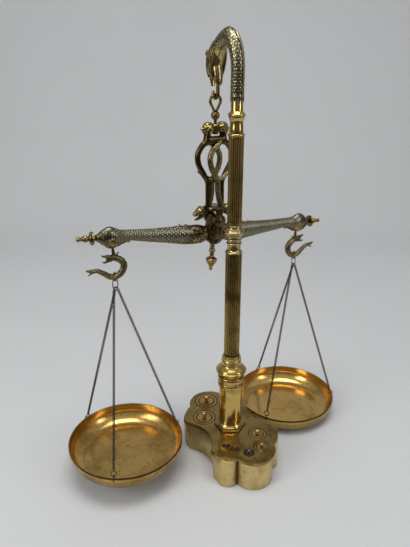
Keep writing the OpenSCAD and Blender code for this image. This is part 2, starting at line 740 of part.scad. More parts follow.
color([0.72, 0.62, 0.38]) base_block();
color([0.62, 0.5, 0.32]) base_plate();
color([0.66, 0.55, 0.3]) foot_plate();
color([0.85, 0.68, 0.25]) column_socket();
color([0.75, 0.6, 0.3]) column_crown();
color([0.5, 0.43, 0.22]) lower_column();
color([0.7, 0.58, 0.3]) middle_collar();
color([0.5, 0.43, 0.22]) upper_column();
color([0.78, 0.64, 0.28]) upper_collar();
color([0.5, 0.47, 0.3]) serpent_arm();
color([0.45, 0.4, 0.22]) mouth_hook();
color([0.5, 0.5, 0.5]) tie_rod();
color([0.6, 0.6, 0.55]) tie_washer();
color([0.6, 0.55, 0.4]) tie_nut();
color([0.6, 0.52, 0.28]) suspension_eye();
color([0.68, 0.56, 0.26]) yoke();
color([0.4, 0.35, 0.2]) lyre();
color([0.38, 0.26, 0.14]) bearing_cap(-1);  // bearing_cap_front
color([0.38, 0.26, 0.14]) bearing_cap(1);  // bearing_cap_back
color([0.5, 0.42, 0.25]) beam_hub();
color([0.45, 0.47, 0.36]) beam_arm(1);  // beam_arm_right
color([0.45, 0.47, 0.36]) beam_arm(-1);  // beam_arm_left
color([0.75, 0.62, 0.3]) end_finial(1);  // end_finial_right
color([0.75, 0.62, 0.3]) end_finial(-1);  // end_finial_left
color([0.6, 0.6, 0.6]) pivot_pin();
color([0.6, 0.6, 0.6]) hook_pin(1);  // hook_pin_right
color([0.6, 0.6, 0.6]) hook_pin(-1);  // hook_pin_left
color([0.7, 0.58, 0.28]) pointer();
color([0.25, 0.22, 0.14]) hook(1);  // hook_right
color([0.25, 0.22, 0.14]) hook(-1);  // hook_left
color([0.2, 0.2, 0.22]) gather_ring(1);  // gather_ring_right
color([0.2, 0.2, 0.22]) gather_ring(-1);  // gather_ring_left
color([0.2, 0.2, 0.22]) chain(1, 1);  // chain_right_1
color([0.2, 0.2, 0.22]) chain(1, 2);  // chain_right_2
color([0.2, 0.2, 0.22]) chain(1, 3);  // chain_right_3
color([0.2, 0.2, 0.22]) chain(-1, 1);  // chain_left_1
color([0.2, 0.2, 0.22]) chain(-1, 2);  // chain_left_2
color([0.2, 0.2, 0.22]) chain(-1, 3);  // chain_left_3
color([0.78, 0.62, 0.28]) bowl(1);  // bowl_right
color([0.78, 0.62, 0.28]) bowl(-1);  // bowl_left
color([0.72, 0.6, 0.35]) weight(0);  // weight_1
color([0.72, 0.6, 0.35]) weight(1);  // weight_2
color([0.72, 0.6, 0.35]) weight(2);  // weight_3
color([0.72, 0.6, 0.35]) weight(3);  // weight_4
color([0.4, 0.32, 0.3]) weight(4);  // weight_5
color([0.4, 0.32, 0.3]) weight(5);  // weight_6
color([0.4, 0.32, 0.3]) weight(6);  // weight_7
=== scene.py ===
# %% [markdown]
# An old apothecary scale of cast and turned brass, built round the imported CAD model. The CAD gives every
# size and place, in metres, with +Z up and the beam along X. This file adds what a turner, a caster and a
# hundred years of polishing add: scales, heads, soft edges, tarnish and shine.

# %% Load the frame
import json
import math

import bmesh
import bpy
import numpy as np
from mathutils import Matrix, Vector


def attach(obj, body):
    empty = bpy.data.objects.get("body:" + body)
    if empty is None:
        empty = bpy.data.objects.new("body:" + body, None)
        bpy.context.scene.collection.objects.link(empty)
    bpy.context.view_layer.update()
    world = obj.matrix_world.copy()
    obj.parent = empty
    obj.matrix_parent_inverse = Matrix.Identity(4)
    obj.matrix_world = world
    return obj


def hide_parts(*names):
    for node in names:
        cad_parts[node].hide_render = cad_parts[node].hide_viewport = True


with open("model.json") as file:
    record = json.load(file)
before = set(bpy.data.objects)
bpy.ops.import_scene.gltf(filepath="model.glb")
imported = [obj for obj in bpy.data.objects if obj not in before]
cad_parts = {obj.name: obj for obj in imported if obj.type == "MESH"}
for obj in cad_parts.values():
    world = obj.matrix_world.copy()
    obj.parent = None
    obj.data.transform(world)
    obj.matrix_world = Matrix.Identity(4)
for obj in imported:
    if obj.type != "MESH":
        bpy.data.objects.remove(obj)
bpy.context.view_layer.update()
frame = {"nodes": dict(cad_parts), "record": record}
MM = 0.001
BUMP_HEIGHT = 0.2 * MM


def in_scene(name, data):
    """A new object in the scene."""
    obj = bpy.data.objects.new(name, data)
    bpy.context.scene.collection.objects.link(obj)
    return obj


# %% [markdown]
# The camera stands where the photographer stood. Its place and lens come from fitting the rims of the pans,
# the base and the column, so it needs no shift. A lens of 34 mm on a 36 mm sensor is a normal phone view.

# %% Camera
CAMERA_AT = (0.3264, 0.4891, 0.5108)
CAMERA_YAW, CAMERA_PITCH = math.radians(239.67), math.radians(-22.08)
camera_data = bpy.data.cameras.new("camera")
camera_data.sensor_width = 36.0
camera_data.lens = 33.98
camera_data.clip_start = 0.01
camera = in_scene("camera", camera_data)
look = Vector((math.cos(CAMERA_YAW) * math.cos(CAMERA_PITCH), math.sin(CAMERA_YAW) * math.cos(CAMERA_PITCH),
               math.sin(CAMERA_PITCH)))
camera.matrix_world = Matrix.Translation(CAMERA_AT) @ look.to_track_quat("-Z", "Y").to_matrix().to_4x4()
bpy.context.scene.camera = camera
print("camera height mm:", CAMERA_AT[2] / MM)

# %% [markdown]
# A material is a small machine of nodes. These helpers let each finish be written in a few plain lines: a
# colour as a web code, and a node with its settings and what its sockets are fed.

# %% Helpers for nodes
def paint(code):
    """A web colour code as the linear values that light needs."""
    channels = [int(code[i:i + 2], 16) / 255 for i in (1, 3, 5)]
    return tuple(c / 12.92 if c <= 0.04045 else ((c + 0.055) / 1.055) ** 2.4 for c in channels) + (1.0,)


def feed(tree, socket, value):
    """Gives a socket a value, or links another node's output to it."""
    if isinstance(value, bpy.types.NodeSocket):
        tree.links.new(value, socket)
    elif value is not None:
        socket.default_value = value


def node(tree, kind, feeds, **settings):
    """Adds a node with its settings and what its sockets are fed, and gives back its outputs."""
    new = tree.nodes.new(kind)
    for name, value in settings.items():
        setattr(new, name, value)
    for socket, value in feeds.items():
        feed(tree, new.inputs[socket], value)
    return new.outputs


class Bench:
    """One material's node tree, with a short way to add each kind of node."""

    def __init__(self, name):
        self.material = bpy.data.materials.new(name)
        self.material.use_nodes = True
        self.tree = self.material.node_tree
        self.tree.nodes.clear()
        out = self.tree.nodes.new("ShaderNodeOutputMaterial")
        self.shader = self.tree.nodes.new("ShaderNodeBsdfPrincipled")
        feed(self.tree, out.inputs["Surface"], self.shader.outputs["BSDF"])
        self.places = self.node("ShaderNodeTexCoord", {})

    def node(self, kind, feeds, **settings):
        return node(self.tree, kind, feeds, **settings)

    def surface(self, socket, value):
        feed(self.tree, self.shader.inputs[socket], value)

    def noise(self, scale, detail, rough=0.5, squeeze=None):
        place = self.places["Object"]
        if squeeze:
            place = self.node("ShaderNodeMapping", {"Vector": place, "Scale": squeeze})["Vector"]
        feeds = {"Vector": place, "Scale": scale, "Detail": detail, "Roughness": rough}
        return self.node("ShaderNodeTexNoise", feeds)["Fac"]

    def span(self, value, low, high, to_low=0.0, to_high=1.0):
        """Carries a value smoothly from one range to another."""
        feeds = {"Value": value, "From Min": low, "From Max": high, "To Min": to_low, "To Max": to_high}
        return self.node("ShaderNodeMapRange", feeds, interpolation_type="SMOOTHSTEP")["Result"]

    def math(self, kind, a, b=None):
        return self.node("ShaderNodeMath", {0: a, 1: b}, operation=kind)[0]

    def times(self, a, b):
        return self.math("MULTIPLY", a, b)

    def mix(self, share, a, b):
        """Mixes two colours. Their sockets share their names with others, so they are found by number."""
        return self.node("ShaderNodeMix", {"Factor": share, 6: a, 7: b}, data_type="RGBA")[2]

    def crevice(self, reach):
        """How open the surroundings of a point are, within a reach in metres."""
        return self.node("ShaderNodeAmbientOcclusion", {"Distance": reach}, samples=6, only_local=True)["AO"]

    def parts(self, coordinate):
        """The three numbers of a texture coordinate, or of the surface's normal."""
        return self.node("ShaderNodeSeparateXYZ", {"Vector": self.places[coordinate]})

    def on_lathe(self):
        """Where a point of a turned piece lies: distance from the axis and height, each from 0 to 1."""
        across, deep, height = self.parts("Generated")
        x, y = self.math("SUBTRACT", across, 0.5), self.math("SUBTRACT", deep, 0.5)
        squares = self.math("ADD", self.times(x, x), self.times(y, y))
        return self.times(self.math("SQRT", squares), 2.0), height

    def bump(self, height, strength):
        feeds = {"Strength": strength, "Distance": BUMP_HEIGHT, "Height": height}
        self.surface("Normal", self.node("ShaderNodeBump", feeds)["Normal"])


print("a mid grey in linear light:", round(paint("#808080")[0], 3))

# %% [markdown]
# The cast pieces are all bodies swept along a path: a neck, a beam, a leg of the lyre, a snake. A few
# stations give the path, and a smooth curve runs through them. Their scales could be a bump in the finish,
# but then the outline would stay smooth. So the scales are heights over the path: rows of tongues, each row
# half a scale on.

# %% Paths and scales
KEEL = 0.12      # how far the rib along the middle of a scale stands up


def glide(rows, steps):
    """A smooth row of stations through the given ones."""
    rows = np.array(rows, float)
    out = []
    for i in range(len(rows) - 1):
        a, b, c, d = rows[max(i - 1, 0)], rows[i], rows[i + 1], rows[min(i + 2, len(rows) - 1)]
        for k in range(steps):
            t = k / steps
            out.append(0.5 * (2 * b + (c - a) * t + (2 * a - 5 * b + 4 * c - d) * t * t
                              + (3 * b - a - 3 * c + d) * t ** 3))
    out.append(rows[-1])
    return np.array(out)


def shingles(s, turn, around, pitch, start=0.0):
    """Overlapping scales in staggered rows, with round free ends towards growing s."""
    v, u = np.meshgrid((s - start) / pitch, turn / (2 * math.pi) * around, indexing="ij")
    row = np.floor(v)

    def place_in(r):
        across = u - 0.5 * (r % 2)
        across = across - np.round(across)
        return v - r, across, 1.02 + 0.5 * np.sqrt(np.clip(1 - (2 * across) ** 2, 0, 1))

    far, side_far, end_far = place_in(row - 1)
    near, side_near, end_near = place_in(row)
    over = far < end_far
    down = np.where(over, far, near)
    side = np.where(over, side_far, side_near)
    end = np.where(over, end_far, end_near)
    rise = np.clip(down / end, 0, 1)
    shape = 0.25 + 0.75 * rise ** 0.7
    shape = shape * (1 - 0.35 * (2 * side) ** 2) + KEEL * np.exp(-(side / 0.09) ** 2) * rise
    return shape * np.clip((end - down) / 0.09, 0.25, 1)


def fade(s, low, high):
    """Goes smoothly from 0 at low to 1 at high."""
    t = np.clip((s - low) / (high - low), 0, 1)
    return t * t * (3 - 2 * t)


def scaled(s, turn, around, pitch, height, share, start=0.0):
    """Scales that fade out where share is 0, with the relief of plain metal there."""
    raised = shingles(s, turn, around, pitch, start)
    share = np.asarray(share, float)
    if share.ndim == 1:
        share = share[:, None]
    return (raised - 0.3) * height * share, 0.6 + (np.clip(raised, 0, 1) - 0.6) * share


one_scale = shingles(np.linspace(0, 1.5, 4), np.zeros(1), 8, 1.0)
print("one scale from root to tip:", one_scale.round(2).ravel())

# %% [markdown]
# A caster carves such pieces in wax as rolls and presses the scales in. Clay works the same way: rolls with
# oval sections, balls, wires and turned bodies are gathered into one mesh. How high a point stands is kept
# with it as "relief", so that the finish can leave tarnish in the grooves and shine on the tips.

# %% Clay
def tube(rings, sides):
    """The faces of a closed tube: between its rings, then a fan at each end."""
    faces = []
    for i in range(rings - 1):
        for k in range(sides):
            a, b = i * sides + k, i * sides + (k + 1) % sides
            faces.append((a, b, b + sides, a + sides))
    first, base = rings * sides, (rings - 1) * sides
    faces += [(first, (k + 1) % sides, k) for k in range(sides)]
    faces += [(first + 1, base + k, base + (k + 1) % sides) for k in range(sides)]
    return faces


def circle(radius, count):
    """Points of a circle."""
    turns = np.linspace(0, 2 * math.pi, count, endpoint=False)
    return [(radius * math.cos(a), radius * math.sin(a)) for a in turns]


class Clay:
    """A lump of modelling clay: rolls and balls in millimetres, gathered into one mesh."""

    def __init__(self):
        self.points, self.faces, self.relief = [], [], []
        self.count = 0

    def add(self, points, faces, relief=None):
        points = np.asarray(points, float)
        self.points.append(points)
        self.faces += [tuple(i + self.count for i in f) for f in faces]
        self.relief.append(np.full(len(points), 0.6) if relief is None else np.asarray(relief, float))
        self.count += len(points)
        return self

    def roll(self, rows, steps=6, sides=24, press=None, lift=(0, 0, 0), turned=None):
        """A roll in the XZ plane; rows are [x, z, half across y, half in the plane]. press(s, turn) gives how
        far out each point goes, and its relief."""
        path = glide(rows, steps)
        ahead = np.gradient(path[:, :2], axis=0)
        ahead /= np.linalg.norm(ahead, axis=1)[:, None] + 1e-12
        step = np.linalg.norm(np.diff(path[:, :2], axis=0), axis=1)
        s = np.concatenate([[0], np.cumsum(step)])
        turn = np.arange(sides) * 2 * math.pi / sides
        c, n = np.cos(turn)[None, :], np.sin(turn)[None, :]
        half_y, half_p = path[:, 2][:, None], path[:, 3][:, None]
        out, relief = press(s, turn) if press else (np.zeros((len(s), sides)), np.full((len(s), sides), 0.6))
        nc, nn = c / np.maximum(half_p, 0.05), n / np.maximum(half_y, 0.05)
        size = np.sqrt(nc * nc + nn * nn)
        reach_p, reach_y = half_p * c + out * nc / size, half_y * n + out * nn / size
        x = path[:, 0][:, None] - ahead[:, 1][:, None] * reach_p
        z = path[:, 1][:, None] + ahead[:, 0][:, None] * reach_p
        grid = np.stack([x, reach_y + 0 * x, z], axis=2).reshape(-1, 3) + np.array(lift)
        if turned is not None:
            grid = grid @ np.array(turned).T
        ends = np.array([grid[:sides].mean(0), grid[-sides:].mean(0)])
        return self.add(np.vstack([grid, ends]), tube(len(s), sides),
                        np.concatenate([relief.reshape(-1), [0.5, 0.5]]))

    def ball(self, centre, radii, steps=16, sides=24, turn=None, press=None):
        """A ball or egg with its poles up and down; turn tips it over, and press(down, around) swells it."""
        rows = np.linspace(0, math.pi, steps + 1)
        around = np.arange(sides) * 2 * math.pi / sides
        grid = []
        for a in rows[1:-1]:
            for b in around:
                grow = math.sin(a) * (1 + (press(a, b) if press else 0))
                grid.append([radii[0] * math.cos(b) * grow, radii[1] * math.sin(b) * grow,
                             radii[2] * math.cos(a)])
        grid += [[0, 0, radii[2]], [0, 0, -radii[2]]]
        grid = np.array(grid)
        if turn is not None:
            grid = grid @ np.array(turn).T
        return self.add(grid + np.array(centre), tube(steps - 1, sides))

    def wire(self, points, radii, sides=12, steps=6):
        """A round wire through points in space, each with its radius."""
        rows = glide([list(p) + [r] for p, r in zip(points, radii)], steps)
        p = rows[:, :3]
        t = np.gradient(p, axis=0)
        t /= np.linalg.norm(t, axis=1)[:, None] + 1e-12
        normal = np.cross(t[0], [0.3, 0.9, 0.2])        # a direction that no wire here starts along
        grid = []
        for i in range(len(p)):
            normal = normal - t[i] * np.dot(normal, t[i])
            normal /= np.linalg.norm(normal)
            other = np.cross(t[i], normal)
            for k in range(sides):
                a = 2 * math.pi * k / sides
                grid.append(p[i] + rows[i, 3] * (math.cos(a) * normal + math.sin(a) * other))
        return self.add(grid + [p[0], p[-1]], tube(len(p), sides))

    def lathe(self, profile, sides):
        """A turned body: profile is [radius, height] from the bottom up, closed on the axis."""
        around = np.arange(sides) * 2 * math.pi / sides
        grid = [[r * math.cos(b), r * math.sin(b), z] for r, z in profile for b in around]
        return self.add(grid + [[0, 0, profile[0][1]], [0, 0, profile[-1][1]]], tube(len(profile), sides))


print("points of a ball of clay:", Clay().ball((0, 0, 0), (1, 1, 1)).count)

# %% [markdown]
# Clay becomes a piece in a few steps. Rolls and balls can be fused into one skin with a voxel remesh and
# calmed, holes are cut with a boolean, and the piece is given to its body, its CAD node and its slot.

# %% From clay to a piece
finishes = {}       # by name; filled further on, where the brasses are mixed


def mesh_of(name, clay, matrix=None):
    """Clay in millimetres as a mesh in metres, with its relief."""
    points = np.vstack(clay.points)
    if matrix is not None:
        m = np.array(matrix)
        points = points @ m[:3, :3].T + m[:3, 3]
    mesh = bpy.data.meshes.new(name)
    mesh.from_pydata((points * MM).tolist(), [], clay.faces)
    note = mesh.attributes.new("relief", "FLOAT", "POINT")
    note.data.foreach_set("value", np.concatenate(clay.relief).astype(np.float32))
    return mesh


def dress(mesh, finish):
    """Smooth shading and one finish."""
    mesh.polygons.foreach_set("use_smooth", [True] * len(mesh.polygons))
    mesh.materials.clear()
    mesh.materials.append(finishes[finish])
    mesh.update()


def face_outward(mesh):
    work = bmesh.new()
    work.from_mesh(mesh)
    bmesh.ops.recalc_face_normals(work, faces=work.faces)
    work.to_mesh(mesh)
    work.free()


def applied(obj):
    """Turns an object's modifiers into its mesh."""
    graph = bpy.context.evaluated_depsgraph_get()
    mesh = bpy.data.meshes.new_from_object(obj.evaluated_get(graph))
    obj.modifiers.clear()
    old = obj.data
    obj.data = mesh
    bpy.data.meshes.remove(old)


def cast(name, clay, finish, body, node, matrix=None, melt=None, soften=0, cutters=()):
    """Makes clay into a finished piece; melt is a voxel size in mm that fuses rolls and balls into one."""
    obj = in_scene(name, mesh_of(name, clay, matrix))
    face_outward(obj.data)
    if melt:
        fuse = obj.modifiers.new("fuse", "REMESH")
        fuse.mode = "VOXEL"
        fuse.voxel_size = melt * MM
        if soften:
            calm = obj.modifiers.new("calm", "SMOOTH")
            calm.factor = 0.5
            calm.iterations = soften
        applied(obj)
    for tool in cutters:
        cut = obj.modifiers.new("cut", "BOOLEAN")
        cut.operation = "DIFFERENCE"
        cut.solver = "MANIFOLD"
        cut.object = tool
    if cutters:
        bpy.context.view_layer.update()
        applied(obj)
        for tool in cutters:
            bpy.data.objects.remove(tool)
    face_outward(obj.data)
    dress(obj.data, finish)
    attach(obj, body)
    if node:
        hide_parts(node)
    print(name, "points", len(obj.data.vertices))


def cutter(name, clay, matrix=None):
    """A tool to cut a hole with; cast() takes it away after the cut."""
    return in_scene(name, mesh_of(name, clay, matrix))


print("from clay in mm to the scene in metres:", MM)

# %% [markdown]
# The photograph was taken on a plain pale table before a plain wall. One sheet that curves up behind the
# scale gives both, with no corner line. It is stage, not part of the object. In front of the scale the
# table soon ends, so the column mirrors a dim room: polished metal doesn't see the sheet beyond that edge.

# %% Table and wall
TABLE_EDGE, FLOOR_END = 0.44, 3.0           # in front of the column
BEND_AT, BEND_R, WALL_TOP = 0.9, 0.7, 5.0   # behind it
HALF_WIDTH = 4.0
paper = Bench("stage_paper")
paper.surface("Base Color", paper.mix(paper.noise(2.5, 2.0), paint("#c8c9ca"), paint("#cfd0d1")))
paper.surface("Roughness", 0.75)
paper.surface("Specular IOR Level", 0.2)


def sheet(name, rows):
    """A sheet across the camera's view; rows are [distance behind the column, height]."""
    away = Vector((-math.cos(CAMERA_YAW + math.pi), -math.sin(CAMERA_YAW + math.pi), 0))
    side = Vector((-away.y, away.x, 0))
    points = [tuple(away * d + side * w + Vector((0, 0, z)))
              for d, z in rows for w in (-HALF_WIDTH, HALF_WIDTH)]
    faces = [(2 * i, 2 * i + 1, 2 * i + 3, 2 * i + 2) for i in range(len(rows) - 1)]
    mesh = bpy.data.meshes.new(name)
    mesh.from_pydata(points, [], faces)
    mesh.polygons.foreach_set("use_smooth", [True] * len(faces))
    piece = in_scene(name, mesh)
    mesh.materials.append(paper.material)
    return piece


quarter = np.linspace(0, math.pi / 2, 25)
curve = [(BEND_AT + BEND_R * math.sin(a), BEND_R * (1 - math.cos(a))) for a in quarter]
sheet("stage_table", [(-TABLE_EDGE, 0.0), (0.0, 0.0)] + curve + [(BEND_AT + BEND_R, WALL_TOP)])
beyond = sheet("stage_beyond", [(-FLOOR_END, 0.0), (-TABLE_EDGE, 0.0)])
beyond.visible_glossy = False
print("the table ends mm in front of the column:", TABLE_EDGE / MM)

# %% [markdown]
# Three large soft lamps stand in for a window, a ceiling and a pale room, and even air fills the shadows.
# Polished metal shows what stands round it, so it sees a dim room under a pale ceiling: that gives brass
# its dark bands.

# %% Lamps and air
AIR, DIM_ROOM, PALE_CEILING = 0.38, 0.08, 0.5
ROOM_UP_TO, CEILING_FROM = -0.1, 0.75       # how far up a mirrored ray looks, from -1 to 1
WARM_WHITE = (1, 0.97, 0.93, 1)


def soft_lamp(name, at, target, size, power):
    """A lamp of a size in metres and a power in watts, aimed at a target."""
    lamp = bpy.data.lights.new(name, "AREA")
    lamp.shape = "RECTANGLE"
    lamp.size, lamp.size_y = size
    lamp.energy = power
    aim = Vector(target) - Vector(at)
    turn = aim.to_track_quat("-Z", "Y").to_matrix().to_4x4()
    in_scene(name, lamp).matrix_world = Matrix.Translation(at) @ turn


soft_lamp("ceiling_lamp", (0.1, 0.2, 1.9), (0, 0, 0), (1.1, 0.8), 17)
soft_lamp("window_lamp", (1.7, 0.2, 1.1), (0, 0, 0.25), (0.7, 1.3), 12)
soft_lamp("fill_lamp", (-0.9, 1.6, 0.9), (0, 0, 0.25), (0.4, 1.0), 5)


def studio_air():
    """Even air that lights the object; polished metal sees a dim room under a pale ceiling instead."""
    world = bpy.data.worlds.new("studio_air")
    bpy.context.scene.world = world
    world.use_nodes = True
    tree = world.node_tree
    even = tree.nodes["Background"]
    even.inputs["Color"].default_value = (AIR, AIR, AIR, 1)
    way = node(tree, "ShaderNodeTexCoord", {})["Generated"]
    up = node(tree, "ShaderNodeSeparateXYZ", {"Vector": way})["Z"]
    feeds = {"Value": up, "From Min": ROOM_UP_TO, "From Max": CEILING_FROM, "To Min": DIM_ROOM,
             "To Max": PALE_CEILING}
    strength = node(tree, "ShaderNodeMapRange", feeds, interpolation_type="SMOOTHSTEP")["Result"]
    room = node(tree, "ShaderNodeBackground", {"Strength": strength, "Color": WARM_WHITE})["Background"]
    mirrored = node(tree, "ShaderNodeLightPath", {})["Is Glossy Ray"]
    feeds = {"Fac": mirrored, 1: even.outputs["Background"], 2: room}
    air = node(tree, "ShaderNodeMixShader", feeds)["Shader"]
    feed(tree, tree.nodes["World Output"].inputs["Surface"], air)


studio_air()
bpy.context.scene.view_settings.view_transform = "Standard"

# %% [markdown]
# Brass is never one colour. Where hands polish it, it is yellow and shiny; in hollows it keeps a brown or
# green film. So
# every brass here mixes three tones: a body colour, a tarnish that wanders in clouds, and a dark tone for
# film and painted shade in the hollows. On turned work the ambient occlusion node finds the hollows, and the
# dark it lays there is both patina and painted shade. On cast work the relief that was pressed in with the
# scales tells groove from tip. Roughness wanders with the same clouds. A turned piece can also have specks,
# painted shade on its downward faces, painted shade in dark rings or flutes, or a painted shadow line at its
# rim.

# %% How a brass is mixed
GROOVE, TIP = 0.36, 0.86        # the relief where the film is whole, and where the tips shine
LIP = (0.982, 0.99)             # how far out the painted shadow line at a rim starts, as a share of the radius
SHADE_LINE_SHARE = 0.92                    # how dark a painted shade line at a rim or in a ring gets
SPECK_SCALE, GRAIN_SCALE = 210, 900


def brass(name, body, tarnish, patina_and_shade, rough=(0.22, 0.4), cloud=35.0, cloud_share=(0.42, 0.68), hollow=0.004,
          patina_and_shade_share=0.85, hollow_from=(0.4, 0.97), grain_bump=0.05, squeeze=None, tips=None, specks=0.0,
          under=0.0, rim_shadow=0.0, rings=(), flutes=0):
    """Mixes a brass and puts it among the finishes."""
    b = Bench(name)
    clouds = b.noise(cloud, 5.0, 0.62)
    fine = b.noise(cloud * 9, 3.0, 0.6)
    wander = b.math("ADD", b.times(clouds, 0.78), b.times(fine, 0.22))
    dull = b.span(wander, *cloud_share)
    tone = b.mix(dull, paint(body), paint(tarnish))
    if tips:
        relief = b.node("ShaderNodeAttribute", {}, attribute_name="relief")["Fac"]
        height = b.span(relief, GROOVE, TIP)
        tone = b.mix(height, paint(patina_and_shade), b.mix(b.times(height, clouds), tone, paint(tips)))
    # patina and painted shade: the dark tone laid where the ambient occlusion finds hollows
    if hollow:
        dark = b.span(b.crevice(hollow), *hollow_from, patina_and_shade_share, 0.0)
        tone = b.mix(dark, tone, paint(patina_and_shade))
    # painted shade: faces that turn downwards, such as a pan's outer wall, darken towards the dark tone
    if under:
        tone = b.mix(b.span(b.parts("Normal")["Z"], -0.12, 0.06, under, 0.0), tone, paint(patina_and_shade))
    if specks:
        tone = b.mix(b.span(b.noise(SPECK_SCALE, 2.0), 0.66, 0.72, 0.0, specks), tone, paint(patina_and_shade))
    # painted shade: dark lines along the grooves of a fluted shaft
    if flutes:
        at = b.parts("Object")
        groove = b.math("COSINE", b.times(b.math("ARCTAN2", at["Y"], at["X"]), flutes))
        tone = b.mix(b.span(groove, 0.1, 0.95, 0.0, 0.9), tone, paint(patina_and_shade))
    # painted shadow: a dark line at the outer edge of a turned piece from a set height up, as under a pan's
    # lip
    if rim_shadow:
        from_axis, height = b.on_lathe()
        edge = b.times(b.span(from_axis, *LIP), b.span(height, rim_shadow - 0.03, rim_shadow))
        tone = b.mix(b.times(edge, SHADE_LINE_SHARE), tone, paint(patina_and_shade))
    # painted shade: dark rings at given radii, as in the gap round a weight and in its groove
    if rings:
        from_axis, _ = b.on_lathe()
        for radius, half in rings:
            off = b.math("ABSOLUTE", b.math("SUBTRACT", from_axis, radius))
            tone = b.mix(b.span(off, half * 0.7, half * 1.3, SHADE_LINE_SHARE, 0.0), tone, paint(patina_and_shade))
    b.surface("Base Color", tone)
    b.surface("Metallic", 1.0)
    b.surface("Roughness", b.span(wander, 0.3, 0.7, *rough))
    b.bump(b.noise(GRAIN_SCALE, 2.0, 0.6, squeeze), grain_bump)
    finishes[name] = b.material


print("a brass takes three colours: body, tarnish and film")

# %% [markdown]
# Each finish is written down once: the three colours, the range of roughness, and what sets it apart. The
# cast pieces are grey and brown, the turned ones yellow, and the leaded chains almost black.

# %% The finishes
# its long reach for hollows paints shade across the base's curved walls
brass("base_brass", "#d9c084", "#b09660", "#3f2e16", (0.26, 0.42), grain_bump=0.08, hollow=0.02,
      hollow_from=(0.35, 0.98), specks=0.3)
brass("plate_brass", "#a08852", "#6e5630", "#23170a", (0.14, 0.28), cloud=28, grain_bump=0.08, hollow=0.006,
      hollow_from=(0.45, 0.98), specks=0.5)
brass("polished_brass", "#ccb068", "#88743f", "#241b0b", (0.1, 0.24), cloud=26)
brass("collar_brass", "#b9a976", "#786d4b", "#1f190d", (0.14, 0.28), cloud=50)
# both shafts get painted shade along their flutes
brass("column_brass", "#ae955a", "#6e5c34", "#100a05", (0.22, 0.38), hollow=0.002, patina_and_shade_share=0.6,
      hollow_from=(0.5, 0.95), squeeze=(1, 1, 0.08), flutes=20)
# a lighter copy of the column brass: painted light for the upper shaft, which mirrors the dim room
brass("upper_column_brass", "#c8ad6c", "#85723a", "#140d06", (0.26, 0.42), hollow=0.002, patina_and_shade_share=0.5,
      hollow_from=(0.45, 0.9), squeeze=(1, 1, 0.08), flutes=20)
brass("cast_brass", "#6a5736", "#3b2e1a", "#120c06", (0.2, 0.36), cloud=90)
brass("dark_brass", "#8c7747", "#4a3d22", "#120d06", (0.18, 0.34), cloud=70)
brass("steel", "#a8a49c", "#7a736a", "#2c2722", (0.25, 0.4))
brass("hook_brass", "#7d7048", "#3f3922", "#0f0c06", (0.2, 0.36), cloud=120, hollow=0.003)
brass("chain_metal", "#57534a", "#2b2925", "#0c0c0c", (0.2, 0.36), cloud=160, hollow=0.0012, patina_and_shade_share=0.9,
      hollow_from=(0.5, 0.98))
# painted shade on the pans' downward outer walls and a painted shadow line at their rims
brass("pan_brass", "#d2ae68", "#96743c", "#38260f", (0.14, 0.28), cloud=16, hollow=0.01, patina_and_shade_share=0.5,
      hollow_from=(0.25, 0.92), cloud_share=(0.45, 0.75), specks=0.8, under=0.4, rim_shadow=0.93)
# the weights: painted shade at the foot of the knob, and painted shade rings in the gap round each weight and
# in its groove
brass("weight_brass", "#c0a062", "#8a6c3e", "#1a1107", (0.12, 0.26), cloud=60, hollow=0.0022,
      patina_and_shade_share=0.95, hollow_from=(0.6, 0.98), rings=((0.71, 0.05), (1.0, 0.05)))
brass("small_weight_brass", "#8b7268", "#5e4a45", "#140e0c", (0.16, 0.3), cloud=80, hollow=0.002,
      rings=((0.71, 0.1), (1.0, 0.09)))
brass("scaled_brass", "#9c957b", "#666658", "#221e15", (0.18, 0.34), cloud=110, hollow=0.0012,
      patina_and_shade_share=0.5, tips="#c8b98c")
brass("serpent_brass", "#7d6e48", "#453d28", "#0b0805", (0.16, 0.32), cloud=110, hollow=0.0012,
      patina_and_shade_share=0.6, tips="#d9c88e")
brass("dragon_brass", "#757466", "#4b5048", "#14110b", (0.18, 0.34), cloud=80, hollow=0.0012,
      patina_and_shade_share=0.5, tips="#bfb698")
brass("snake_brass", "#6a6144", "#332f20", "#0b0905", (0.16, 0.32), cloud=120, hollow=0.0012,
      patina_and_shade_share=0.5, tips="#b8a676")
brass("head_brass", "#c2ac76", "#6a5832", "#0f0a04", (0.12, 0.26), cloud=90, hollow=0.005,
      hollow_from=(0.5, 0.98))
brass("gilt_brass", "#a28c5c", "#53452a", "#0f0a04", (0.1, 0.26), cloud=120, hollow=0.005)
brass("leg_brass", "#5f5033", "#30271a", "#0d0805", (0.16, 0.32), cloud=70)
print("finishes:", len(finishes))

# %% [markdown]
# A CAD node whose shape is right stays as it is and only takes its finish, by the slot that the record
# names. The upper shaft has a finish named after it: rougher, and with a lighter body colour that is painted
# light, since it mirrors the dim room.

# %% Finishes for the CAD nodes
for part in frame["record"]["subparts"]:
    piece = frame["nodes"][part["node"]]
    piece.data.materials.clear()
    own = part["node"] + "_brass"
    piece.data.materials.append(finishes[own if own in finishes else part["material_slot"]])

# %% [markdown]
# Turned and filed pieces have no knife edges left after years of polish, so their edges are eased a little.
# The bearing caps and the hub take a dark brown finish.

# %% Eased edges
NODE_BODY = {n: body for body, nodes in frame["record"]["behaviour"]["bodies"].items() for n in nodes}
SLOT_OF = {part["node"]: part["material_slot"] for part in frame["record"]["subparts"]}


